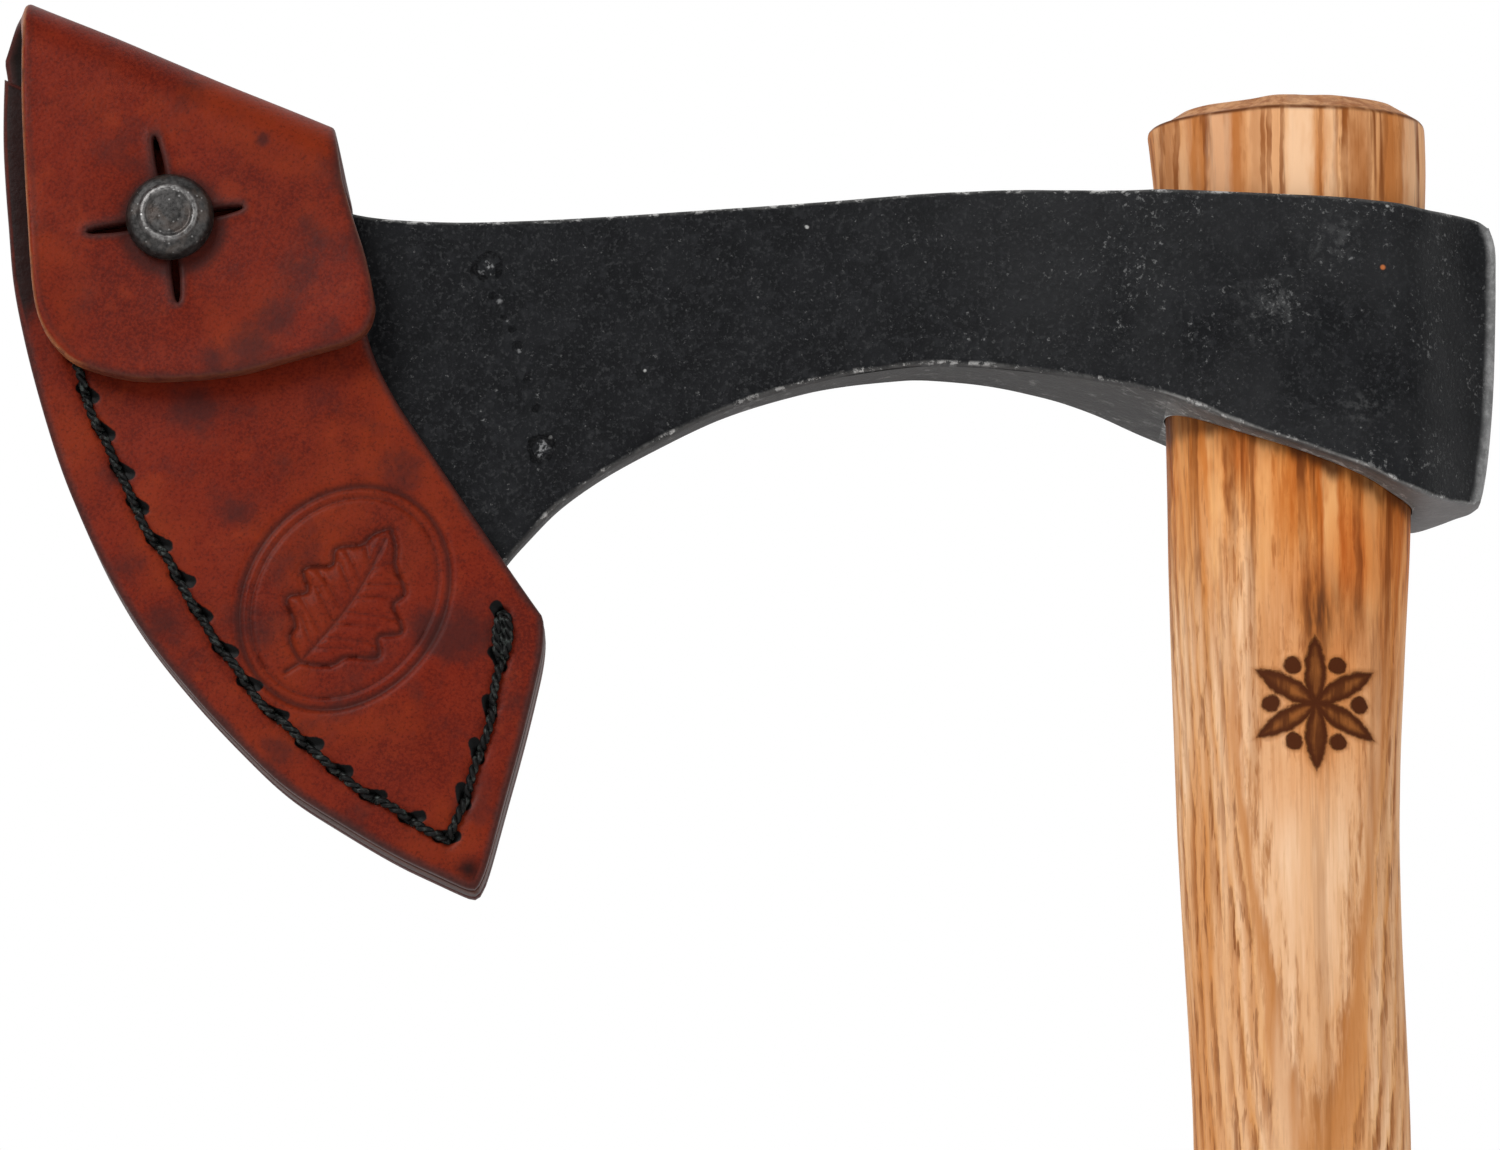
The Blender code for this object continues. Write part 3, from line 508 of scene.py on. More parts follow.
    # The pale tongue itself.
    tongue = n.span(feathered, 4.0, -12.0)
    tongue = n.math("MULTIPLY", tongue, n.span(z, MARK.y + 0.004, MARK.y - 0.022))
    base = n.mix(n.math("MULTIPLY", tongue, 0.90), base, n.mix(n.span(fibre, 0.34, 0.66), (0.735, 0.425, 0.228), (0.825, 0.540, 0.340)))
    base = n.mix(n.math("MULTIPLY", tongue, n.span(thread, 0.52, 0.66, 0.0, 0.34)), base, (0.580, 0.300, 0.135))
    brim = n.math("MULTIPLY", n.span(n.math("ABSOLUTE", n.math("SUBTRACT", feathered, 12.0)), 2.0, 16.0, 1.0, 0.0), n.span(z, tip + 0.045, tip + 0.004, 0.25, 1.0))
    brim = n.math("MULTIPLY", brim, n.span(stroke, 0.36, 0.58, 0.15, 1.0))
    base = n.mix(n.math("MULTIPLY", brim, 0.78), base, (0.340, 0.122, 0.032))
    vee = n.math("MULTIPLY", n.span(n.math("ABSOLUTE", n.math("SUBTRACT", feathered, 24.0)), 5.0, 26.0, 1.0, 0.0), n.span(z, tip + 0.075, tip + 0.040))
    base = n.mix(n.math("MULTIPLY", vee, 0.80), base, (0.500, 0.200, 0.058))
    base = n.mix(n.math("MULTIPLY", light, 0.42), base, (0.83, 0.555, 0.350))
    warm = n.span(n.noise(n.mapped(place, (60.0, 60.0, 11.0), (6, 3, 8)), 1.0, 3.0, 0.6), 0.44, 0.66)
    base = n.mix(n.math("MULTIPLY", warm, n.math("SUBTRACT", 0.55, n.math("MULTIPLY", tongue, 0.40))), base, n.mix(1.0, base, (0.97, 0.80, 0.56), "MULTIPLY"))
    # Flame toning below the head, at the top and round the burnt mark.
    licks = n.noise(n.mapped(place, (150.0, 150.0, 20.0), (4, 4, 1)), 1.0, 4.0, 0.68)
    near_head = n.span(n.math("ADD", hang, n.math("MULTIPLY", n.math("SUBTRACT", licks, 0.5), 0.055)), low - 0.034, low - 0.002)
    above = n.span(z, TOP - 0.030, TOP - 0.020)
    patches = n.noise(n.mapped(place, (150.0, 150.0, 9.0), (9, 4, 6)), 1.0, 2.0, 0.6)
    base = n.mix(n.math("MULTIPLY", above, n.span(patches, 0.46, 0.60, 0.0, 0.85)), base, (0.83, 0.545, 0.350))
    base = n.mix(n.math("MULTIPLY", above, n.span(patches, 0.50, 0.38, 0.0, 0.80)), base, (0.520, 0.205, 0.058))
    near_head = n.math("MULTIPLY", near_head, n.math("SUBTRACT", 1.0, n.math("MULTIPLY", above, 0.62)))
    base = n.mix(n.math("MULTIPLY", near_head, n.span(licks, 0.36, 0.60, 0.22, 0.90)), base, (0.430, 0.146, 0.034))
    base = n.mix(n.math("MULTIPLY", streak, n.math("ADD", 0.26, n.math("MULTIPLY", n.math("MAXIMUM", near_head, above), 0.66))), base, (0.190, 0.058, 0.013))
    base = n.mix(n.math("MULTIPLY", near_head, 0.78), base, n.mix(1.0, base, (1.0, 0.74, 0.36), "MULTIPLY"))
    # The darkest grain lines, one by one: across the face, half width and strength in millimetres.
    wander = n.math("ADD", n.math("MULTIPLY", x, 1000.0), n.math("MULTIPLY", n.math("SUBTRACT", n.noise(n.mapped(place, (80.0, 80.0, 60.0)), 1.0, 3.0, 0.6), 0.5), 2.2))
    wander = n.math("ADD", wander, n.math("MULTIPLY", n.math("SUBTRACT", dash, 0.5), 1.3))
    over = n.math("MULTIPLY", above, n.math("LESS_THAN", y, 0.001))
    under = n.math("MULTIPLY", n.span(n.math("ADD", hang, n.math("MULTIPLY", n.math("SUBTRACT", stroke, 0.5), 0.030)), low - 0.034, low - 0.008), n.span(z, TOP - 0.030, TOP - 0.020, 1.0, 0.0))
    under = n.math("MULTIPLY", under, n.math("LESS_THAN", y, 0.001))
    broken = n.span(n.noise(n.mapped(place, (260.0, 260.0, 70.0), (1, 9, 4)), 1.0, 3.0, 0.6), 0.34, 0.56, 0.40, 1.0)
    for where, level, colour, lines in (
        (over, 130, (0.215, 0.064, 0.014), ((1164, 0.5, 0.8), (1178, 0.5, 0.9), (1206, 0.55, 0.8), (1226, 0.4, 0.35), (1261, 0.5, 0.85), (1268, 0.45, 1.0), (1281, 0.4, 0.7), (1320, 0.35, 0.6), (1337, 0.6, 0.6), (1346, 0.7, 1.0), (1369, 0.5, 0.4), (1384, 0.5, 0.6), (1403, 0.5, 0.45))),
        (over, 130, (0.330, 0.110, 0.026), ((1170, 1.7, 0.55), (1196, 1.5, 0.45), (1258, 2.0, 0.45), (1357, 2.4, 0.75), (1392, 1.6, 0.35), (1235, 1.8, 0.35))),
        (over, 130, (0.860, 0.600, 0.410), ((1299, 2.6, 0.85), (1219, 2.1, 0.45), (1331, 1.4, 0.55), (1412, 1.5, 0.45), (1187, 1.0, 0.35))),
        (under, 480, (0.165, 0.045, 0.010), ((1172, 0.6, 0.60), (1196, 0.6, 0.62), (1230, 1.0, 0.92), (1252, 0.6, 0.60), (1302, 1.0, 0.90), (1313, 0.5, 0.55), (1357, 0.8, 0.72), (1388, 0.6, 0.55))),
        (under, 480, (0.860, 0.520, 0.260), ((1216, 1.4, 0.65), (1264, 1.6, 0.45), (1330, 1.5, 0.75), (1372, 1.3, 0.45), (1185, 1.1, 0.35))),
    ):
        total = None
        for px, half, power in lines:
            c = at(px, level, -0.0115).x * 1000.0
            one = n.span(n.math("ABSOLUTE", n.math("SUBTRACT", wander, c)), half * 0.45, half, power, 0.0)
            total = one if total is None else n.math("MAXIMUM", total, one)
        base = n.mix(n.math("MULTIPLY", n.math("MULTIPLY", total, where), broken), base, colour)
    base = n.mix(n.math("MULTIPLY", n.math("MAXIMUM", under, n.math("MULTIPLY", over, 0.55)), 0.62), base, n.mix(1.0, base, (1.0, 0.80, 0.52), "MULTIPLY"))
    # Painted shadow: a dark line on the wood just under the head's lower edge.
    painted_contact_shadow = n.math("MULTIPLY", n.span(n.math("ADD", hang, n.math("MULTIPLY", n.math("SUBTRACT", stroke, 0.5), 0.0042)), low - 0.0030, low - 0.0006), n.span(z, TOP - 0.030, TOP - 0.020, 1.0, 0.0))
    base = n.mix(n.math("MULTIPLY", painted_contact_shadow, n.span(licks, 0.3, 0.6, 0.45, 0.92)), base, (0.085, 0.025, 0.007))
    flat = n.node("ShaderNodeCombineXYZ")
    n.put(flat.inputs[0], x)
    n.put(flat.inputs[2], z)
    flat = flat.outputs[0]
    front = n.math("LESS_THAN", y, -0.003)
    squeezed = n.mapped(flat, (1.0, 1.0, 0.55), (0, 0, 0))
    halo = None
    for mu, mv, size, power in ((1322, 700, 0.0150, 0.90), (1316, 612, 0.0068, 1.0), (1352, 560, 0.0070, 0.8), (1290, 770, 0.0080, 0.55)):
        p = at(mu, mv, -0.0118)
        far = n.vector("DISTANCE", squeezed, (p.x, 0.0, p.y * 0.55), out=1)
        far = n.math("ADD", far, n.math("MULTIPLY", n.math("SUBTRACT", licks, 0.5), size * 1.1))
        one = n.span(far, size * 0.15, size, power, 0.0)
        halo = one if halo is None else n.math("MAXIMUM", halo, one)
    halo = n.math("MULTIPLY", halo, front)
    base = n.mix(halo, base, n.mix(1.0, base, (0.80, 0.53, 0.28), "MULTIPLY"))
    p = at(1318, 612, -0.0118)
    smoke = n.vector("DISTANCE", squeezed, (p.x, 0.0, p.y * 0.55), out=1)
    smoke = n.span(n.math("ADD", smoke, n.math("MULTIPLY", n.math("SUBTRACT", fibre, 0.5), 0.0030)), 0.0002, 0.0056, 0.94, 0.0)
    p = at(1353, 618, -0.0118)
    second = n.vector("DISTANCE", squeezed, (p.x, 0.0, p.y * 0.55), out=1)
    second = n.span(n.math("ADD", second, n.math("MULTIPLY", n.math("SUBTRACT", fibre, 0.5), 0.0030)), 0.0002, 0.0042, 0.60, 0.0)
    smoke = n.math("MULTIPLY", n.math("MAXIMUM", smoke, second), n.span(stroke, 0.34, 0.56, 0.45, 1.0))
    base = n.mix(n.math("MULTIPLY", n.math("MULTIPLY", smoke, front), n.span(dash, 0.30, 0.60, 0.35, 1.0)), base, (0.098, 0.032, 0.011))
    # The burnt mark: a plain rosette of six petals, with a dot between each pair.
    ragged = n.math("MULTIPLY", n.math("SUBTRACT", n.noise(place, 700.0, 3.0, 0.6), 0.5), 0.0009)
    ends, dots = [], None
    for k in range(6):
        w = math.radians(60 * k + 30)
        ends.append(n.vector("DISTANCE", flat, (MARK.x + MARK_R * math.cos(w), 0.0, MARK.y + MARK_R * math.sin(w)), out=1))
        w = math.radians(60 * k)
        r = MARK_R * 0.70
        dot = n.vector("DISTANCE", flat, (MARK.x + r * math.cos(w), 0.0, MARK.y + r * math.sin(w)), out=1)
        dots = dot if dots is None else n.math("MINIMUM", dots, dot)
    petals = None
    for k in range(6):
        one = n.math("MAXIMUM", ends[k - 1], ends[(k + 1) % 6])
        petals = one if petals is None else n.math("MINIMUM", petals, one)
    petals = n.math("ADD", petals, ragged)
    dots = n.math("ADD", dots, ragged)
    edge = MARK_R * 1.035
    burnt = n.math("MAXIMUM", n.span(petals, edge - 0.00022, edge + 0.00022, 1.0, 0.0), n.span(dots, 0.00105, 0.0014, 1.0, 0.0))
    burnt = n.math("MULTIPLY", burnt, front)
    heart = n.span(petals, edge - 0.0014, edge - 0.0004, 1.0, 0.0)
    char = n.mix(n.math("MULTIPLY", heart, n.span(stroke, 0.36, 0.60, 0.15, 0.95)), (0.058, 0.0125, 0.0030), (0.270, 0.088, 0.020))
    scorch = n.math("MAXIMUM", n.span(petals, edge, edge + 0.0009, 0.60, 0.0), n.span(dots, 0.0013, 0.0019, 0.5, 0.0))
    base = n.mix(n.math("MULTIPLY", scorch, front), base, (0.290, 0.098, 0.025))
    base = n.mix(n.math("MULTIPLY", burnt, 0.97), base, char)
    # The end grain at the top and the butt; the top's chamfer has a dark lower rim.
    caps = n.math("MAXIMUM", n.span(z, TOP - 0.0012, TOP - 0.0004), n.span(z, 0.0004, 0.0014, 1.0, 0.0))
    base = n.mix(n.math("MULTIPLY", caps, 0.35), base, (0.46, 0.24, 0.10))
    slope = n.value("chamfer")
    base = n.mix(n.math("MULTIPLY", n.span(slope, 0.3, 0.8), 0.78), base, n.mix(n.span(n.noise(place, 420.0, 4.0, 0.65), 0.40, 0.62), (0.300, 0.105, 0.030), (0.560, 0.275, 0.120)))
    brink = n.math("SUBTRACT", 1.0, n.math("ABSOLUTE", n.math("SUBTRACT", n.math("MULTIPLY", slope, 2.0), 1.0)))
    base = n.mix(n.math("MULTIPLY", n.span(brink, 0.1, 0.9), n.span(licks, 0.32, 0.56, 0.40, 1.0)), base, (0.130, 0.040, 0.011))
    height = n.math("ADD", n.math("MULTIPLY", fine, 0.35), n.math("MULTIPLY", fibre, 0.45))
    height = n.math("SUBTRACT", height, n.math("MULTIPLY", pores, 0.9))
    height = n.math("SUBTRACT", height, n.math("MULTIPLY", burnt, 3.2))
    rough = n.math("ADD", n.span(fibre, 0.3, 0.7, 0.48, 0.60), n.math("MULTIPLY", burnt, 0.2))
    return n.finish(base, rough, 0.0, n.bump(height, 0.00014, 0.85), 0.07)


def leather_material():
    n = Nodes("red_brown_leather")
    place = n.coords("flat")
    big = n.noise(place, 34.0, 3.0, 0.55)
    blotch = n.noise(n.mapped(place, (1, 1, 1), (0.3, 0.1, 0.2)), 75.0, 4.0, 0.62)
    cloud = n.noise(n.mapped(place, (1, 1, 1), (0.7, 0.5, 0.2)), 46.0, 3.0, 0.6)
    small = n.noise(place, 330.0, 4.0, 0.6)
    grain = n.noise(place, 2300.0, 3.0, 0.6)
    pebble = n.voronoi(place, 1900.0, "SMOOTH_F1")
    base = n.mix(n.span(big, 0.34, 0.64), (0.100, 0.0100, 0.0036), (0.150, 0.0146, 0.0044))
    base = n.mix(n.math("MULTIPLY", n.span(cloud, 0.47, 0.66), 0.70), base, (0.225, 0.0330, 0.0062))
    scuff = n.noise(n.mapped(place, (1, 1, 1), (2.7, 1.5, 0.2)), 120.0, 5.0, 0.72)
    base = n.mix(n.math("MULTIPLY", n.span(scuff, 0.54, 0.70), 0.42), base, (0.275, 0.0420, 0.0105))
    base = n.mix(n.math("MULTIPLY", n.span(small, 0.46, 0.70), 0.38), base, (0.185, 0.0240, 0.0085))
    base = n.mix(n.math("MULTIPLY", n.span(small, 0.50, 0.30), 0.30), base, (0.078, 0.0090, 0.0042))
    base = n.mix(n.math("MULTIPLY", n.span(grain, 0.44, 0.62), 0.40), base, (0.210, 0.0270, 0.0095))
    base = n.mix(n.math("MULTIPLY", n.span(grain, 0.46, 0.32), 0.46), base, (0.058, 0.0075, 0.0038))
    base = n.mix(1.0, base, (0.94, 0.74, 0.64), "MULTIPLY")
    # Darker stains from handling and wax.
    base = n.mix(n.math("MULTIPLY", n.span(blotch, 0.56, 0.72), 0.50), base, (0.058, 0.0120, 0.0098))
    deep = n.noise(n.mapped(place, (1, 1, 1), (1.9, 0.4, 0.6)), 95.0, 4.0, 0.68)
    soil = n.math("ADD", n.value("soil"), n.math("MULTIPLY", n.math("SUBTRACT", deep, 0.5), 2.1))
    soil = n.math("ADD", soil, n.math("MULTIPLY", n.math("SUBTRACT", small, 0.5), 0.5))
    soil = n.math("MULTIPLY", n.span(soil, 0.15, 0.85), n.span(n.value("soil"), 0.02, 0.25))
    base = n.mix(n.math("MULTIPLY", soil, 0.74), base, (0.040, 0.0088, 0.0074))
    # The flesh side is painted near black: partly its own dull colour, partly painted shade of the sheath's dark
    # inside. A cut edge is burnished, or pale along the flap.
    flesh_and_painted_shade = n.value("flesh_and_painted_shade")
    base = n.mix(flesh_and_painted_shade, base, n.mix(small, (0.0042, 0.0018, 0.0013), (0.0120, 0.0050, 0.0034)))
    rim = n.value("rim")
    ragged = n.math("ADD", rim, n.math("MULTIPLY", n.math("SUBTRACT", small, 0.5), 0.0011))
    flap = n.value("flap")
    dark_edge = n.math("MULTIPLY", n.span(ragged, 0.0002, 0.0015, 1.0, 0.0), n.math("SUBTRACT", 1.0, flap))
    base = n.mix(n.math("MULTIPLY", dark_edge, 0.80), base, n.mix(grain, (0.022, 0.0085, 0.0078), (0.060, 0.0240, 0.0210)))
    lip = n.math("MULTIPLY", n.span(ragged, 0.00010, 0.00055, 1.0, 0.0), flap)
    base = n.mix(n.math("MULTIPLY", lip, 0.95), base, n.mix(n.span(small, 0.30, 0.66), (0.110, 0.0280, 0.0120), (0.340, 0.1200, 0.0450)))
    under_lip = n.math("MULTIPLY", n.span(n.math("ABSOLUTE", n.math("SUBTRACT", ragged, 0.0012)), 0.0, 0.0006, 1.0, 0.0), flap)
    base = n.mix(n.math("MULTIPLY", under_lip, 0.35), base, (0.050, 0.0100, 0.0060))
    # Pressed leather is darker; the pressed mark also carries a painted shadow ring round the stud.
    pressed = n.value("pressed")
    base = n.mix(n.math("MULTIPLY", n.span(pressed, 0.10, 0.95), 0.76), base, (0.026, 0.0062, 0.0050))
    # Painted shade: each stitch hole and its slanted slit is painted black, where the holes are not cut.
    ink = n.math("ADD", n.value("ink"), n.math("MULTIPLY", n.math("SUBTRACT", small, 0.5), 0.55))
    base = n.mix(n.span(ink, 0.42, 0.56), base, (0.0012, 0.0012, 0.0012))
    # Painted shadow: the front panel's strip beside the flap's left edge is painted near black as the flap's shadow,
    # with a small dark patch at the tip.
    stain = n.math("ADD", n.value("stain"), n.math("MULTIPLY", n.math("SUBTRACT", blotch, 0.5), 0.6))
    base = n.mix(n.math("MULTIPLY", n.span(stain, 0.20, 0.80), 0.94), base, (0.0065, 0.0022, 0.0018))
    height = n.math("ADD", n.math("MULTIPLY", pebble, 0.35), n.math("MULTIPLY", small, 0.9))
    height = n.math("ADD", height, n.math("MULTIPLY", grain, 0.35))
    height = n.math("ADD", height, n.math("MULTIPLY", blotch, 0.8))
    rough = n.span(blotch, 0.35, 0.7, 0.50, 0.40)
    return n.finish(base, rough, 0.0, n.bump(height, 0.00009, 0.7), 0.105)


def edge_material():
    n = Nodes("burnished_leather_edge")
    place = n.coords()
    layers = n.noise(n.mapped(place, (60.0, 1900.0, 60.0)), 1.0, 3.0, 0.6)
    base = n.mix(n.span(layers, 0.35, 0.68), (0.030, 0.0090, 0.0062), (0.085, 0.0260, 0.0150))
    small = n.noise(place, 700.0, 3.0, 0.6)
    return n.finish(base, 0.5, 0.0, n.bump(n.math("ADD", layers, small), 0.0001, 0.8), 0.15)


def thread_material():
    n = Nodes("black_waxed_thread")
    place = n.coords()
    # Lighter grey-green patches along the thread: partly wax, partly a painted sheen.
    wax_and_sheen = n.noise(place, 900.0, 3.0, 0.65)
    base = n.mix(n.span(wax_and_sheen, 0.50, 0.68), (0.0013, 0.0015, 0.0015), (0.034, 0.041, 0.037))
    rough = n.span(wax_and_sheen, 0.3, 0.7, 0.60, 0.40)
    return n.finish(base, rough, 0.0, n.bump(wax_and_sheen, 0.00012, 0.9), 0.20)


def stud_material():
    n = Nodes("worn_gunmetal")
    place = n.coords()
    grain = n.noise(place, 1300.0, 4.0, 0.65)
    patch = n.noise(place, 420.0, 4.0, 0.65)
    worn = n.value("worn")
    # The worn mask is partly a painted highlight: the bright ring and crown on the stud's top.
    wear_and_painted_highlight = n.math("MULTIPLY", n.math("POWER", worn, 1.8), n.span(patch, 0.30, 0.62, 0.25, 1.0))
    base = n.mix(n.span(grain, 0.35, 0.7), (0.0085, 0.0079, 0.0076), (0.026, 0.0238, 0.0228))
    tinge = n.math("MULTIPLY", n.span(n.noise(place, 260.0, 3.0, 0.6), 0.50, 0.64), 0.55)
    base = n.mix(tinge, base, (0.050, 0.030, 0.020))
    base = n.mix(wear_and_painted_highlight, base, n.mix(n.span(grain, 0.3, 0.7), (0.085, 0.080, 0.078), (0.270, 0.262, 0.255)))
    nick = n.span(n.voronoi(place, 1500.0), 0.10, 0.30, 1.0, 0.0)
    keep = n.math("GREATER_THAN", n._split(n.voronoi(place, 1500.0, out="Color"))[0], 0.72)
    nick = n.math("MULTIPLY", nick, keep)
    base = n.mix(n.math("MULTIPLY", nick, n.math("MULTIPLY", worn, 0.8)), base, (0.50, 0.49, 0.48))
    rough = n.math("SUBTRACT", n.span(grain, 0.3, 0.7, 0.34, 0.56), n.math("MULTIPLY", wear_and_painted_highlight, 0.06))
    height = n.math("ADD", grain, n.math("MULTIPLY", patch, 1.2))
    return n.finish(base, rough, 0.55, n.bump(height, 0.00010, 0.8), 0.35)


STEEL = steel_material()
WOOD = wood_material()
LEATHER_MAT = leather_material()
EDGE_MAT = edge_material()
THREAD = thread_material()
STUD = stud_material()

# ---------------------------------------------------------------- handle
HANDLE = [
    (118, 1146, 1423, 13.2), (150, 1149, 1425, 13.3), (187, 1154, 1425.5, 13.1),
    (300, 1161, 1421, 12.9), (400, 1165, 1415, 12.6), (480, 1167, 1411.5, 12.4),
    (540, 1168, 1410, 12.2), (640, 1171, 1405, 11.9), (760, 1175, 1400, 11.6),
    (840, 1177.5, 1399, 11.4), (940, 1183, 1401.5, 11.3), (1040, 1189, 1406.5, 11.2),
    (1120, 1193, 1410, 11.2),
]


def handle_table():
    rows = []
    for v, left, right, half in HANDLE:
        a, b = at(left, v), at(right, v)
        rows.append((a.y, (a.x + b.x) / 2, (b.x - a.x) / 2, half / 1000))
    rows.sort()
    z, c, w, t = rows[0]
    low = [
        (0.0, 0.0000, 0.0166, 0.0122), (0.030, 0.0002, 0.0164, 0.0119),
        (0.080, 0.0010, 0.0158, 0.0113), (0.140, 0.0018, 0.0155, 0.0110),
        (0.200, 0.0022, 0.0155, 0.0110),
    ]
    rows = np.array(low + [(z - 0.035, c + 0.0001, w, t - 0.0001)] + rows)
    z = np.linspace(rows[0, 0], rows[-1, 0], 900)
    out = [z]
    for k in (1, 2, 3):
        v = np.interp(z, rows[:, 0], rows[:, k])
        padded = np.concatenate([np.full(14, v[0]), v, np.full(14, v[-1])])
        out.append(np.convolve(padded, np.hanning(29) / np.hanning(29).sum(), "valid"))
    return np.array(out)


HANDLE_TABLE = handle_table()


def section(z):
    return [np.interp(z, HANDLE_TABLE[0], HANDLE_TABLE[k]) for k in (1, 2, 3)]


def shaft(levels, sides, grow=0.0):
    """levels: (z, inset). Returns points and faces of a closed oval shaft."""
    angle = 2 * np.pi * np.arange(sides) / sides
    c, s = np.cos(angle), np.sin(angle)
    shape_x = np.sign(c) * np.abs(c) ** 0.92
    shape_y = np.sign(s) * np.abs(s) ** 0.92
    verts, faces = [], []
    for z, inset in levels:
        cx, w, t = section(z)
        verts.append(np.stack([cx + shape_x * (w + grow - inset), shape_y * (t + grow - inset), np.full(sides, z)], axis=1))
    count = len(levels)
    for i in range(count - 1):
        for k in range(sides):
            a, b = i * sides + k, i * sides + (k + 1) % sides
            faces.append((a, b, b + sides, a + sides))
    faces.append(tuple(range(sides))[::-1])
    faces.append(tuple(range((count - 1) * sides, count * sides)))
    return np.concatenate(verts), faces


def build_handle():
    levels = [(0.0, 0.0030), (0.0004, 0.0022), (0.0012, 0.0012), (0.0026, 0.0004), (0.0045, 0.0)]
    levels += [(z, 0.0) for z in np.arange(0.008, TOP - 0.0052, 0.0022)]
    crest = TOP - 0.0034
    levels += [(crest - 0.0022, 0.0), (crest - 0.0012, 0.0), (crest - 0.0005, 0.00002), (crest - 0.0001, 0.00010), (crest + 0.0002, 0.00032)]
    levels += [(crest + 0.0002 + k * (0.0026 / 6), 0.00032 + k * (0.0038 / 6)) for k in range(1, 7)]
    levels += [(TOP - 0.0003, 0.0049), (TOP - 0.00012, 0.0062), (TOP - 0.00002, 0.0085), (TOP, 0.0108)]
    verts, faces = shaft(levels, 144)
    # Hand-finished wood is never quite even.
    hand = wobble(verts * [1, 1, 0.35], 42.0, 3.1)
    out = verts.copy()
    cx = np.interp(verts[:, 2], HANDLE_TABLE[0], HANDLE_TABLE[1])
    radial = np.stack([verts[:, 0] - cx, verts[:, 1]], axis=1)
    radial /= np.maximum(np.linalg.norm(radial, axis=1, keepdims=True), 1e-9)
    fade = ease((low_of_eye - 0.004 - verts[:, 2]) / 0.01)
    out[:, :2] += radial * (hand * 0.00016 * fade)[:, None]
    # The chamfer was cut by eye: it drops and widens on the bit's side.
    above = ease((verts[:, 2] - (crest - 0.0026)) / 0.0026)
    toward = ease((-radial[:, 0] - 0.1) / 0.9)
    ripple = wobble(np.stack([radial[:, 0], radial[:, 1], radial[:, 0] * 0], axis=1), 2.6, 4.9)
    out[:, 2] -= above * (toward * 0.0007 + (ripple * 0.5 + 0.5) * 0.00020)
    slope = ease((verts[:, 2] - crest) / 0.0010)
    out[:, :2] -= radial * (slope * (toward * 0.0009 + ripple * 0.00025))[:, None]
    obj = mesh_object("wood_handle", out, faces, 50.0)
    face_outwards(obj)
    set_float(obj, "chamfer", np.clip((verts[:, 2] - (crest - 0.0007)) / 0.0014, 0.0, 1.0))
    return obj


low_of_eye = at(1290, 470, -0.0125).y
handle = build_handle()
handle.data.materials.append(WOOD)
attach(handle, "hatchet")
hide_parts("handle")

# ---------------------------------------------------------------- head
CHEEK = [
    (0, 2.15), (520, 2.2), (600, 2.5), (700, 2.95), (800, 3.55), (860, 4.1), (927, 5.0),
    (970, 5.8), (1010, 6.8), (1060, 8.9), (1101, 11.2), (1135, 13.9), (1160, 15.4),
    (1200, 16.3), (1260, 16.6), (1360, 16.6), (1395, 16.1), (1412, 15.2), (1426, 13.2),
    (1442, 9.4), (1458, 5.4), (1472, 2.9), (1484, 1.9), (1500, 1.8),
]
TOP_EDGE = [
    (74, 112, 0.1), (120, 130, 1.2), (200, 158, 2.0), (280, 187, 2.1), (355, 213, 2.15), (440, 220.5, 2.2),
    (520, 219.5, 2.2), (600, 215.5, 2.5), (700, 209, 2.95), (800, 202, 3.55), (860, 197.5, 4.1),
    (927, 192, 5.0), (970, 190, 5.8), (1010, 188.5, 6.8), (1060, 188.5, 8.9), (1101, 189, 11.2),
    (1135, 188.5, 13.9), (1160, 187.5, 15.4), (1200, 188.5, 16.3), (1260, 191, 16.6),
    (1330, 194.5, 16.6), (1390, 200, 16.2), (1425, 205, 14.3), (1447, 208.5, 9.8),
    (1464, 213.5, 5.4), (1479, 219.5, 2.7), (1489, 228, 1.5),
]
LOW_EDGE = [
    (436, 798, 0.1), (442, 780, 0.8), (453, 735, 1.6), (466, 685, 2.0), (478, 632, 2.1), (490, 594, 2.15), (508, 567, 2.2),
    (532, 540, 2.2), (560, 512, 2.3), (600, 483, 2.5), (660, 450, 2.8), (720, 421.5, 3.05), (780, 402, 3.4),
    (840, 388.5, 3.9), (900, 382, 4.6), (927, 381, 5.0), (980, 386, 6.1), (1010, 391, 6.8),
    (1060, 404, 8.9), (1101, 418.5, 11.2), (1135, 434, 13.9), (1160, 445, 15.4),
    (1239, 423, -16.5), (1308, 446, -16.6), (1372, 469, -16.5), (1400, 483, -15.9), (1428, 494, -14.0),
    (1447, 500.5, -9.4), (1462, 505, -5.0), (1473, 507, -2.5), (1480, 504, -1.4),
]
EDGE = [
    (436, 798), (414, 791), (388, 777), (338, 741), (282, 684), (228, 618), (182, 545), (143, 467), (115, 392),
    (97, 330), (84, 260), (76, 180), (74, 112),
]
POLL = [(1480, 506), (1483, 494), (1487, 470), (1491, 432), (1494, 385), (1495.5, 330), (1496, 280), (1495, 245), (1489, 227)]


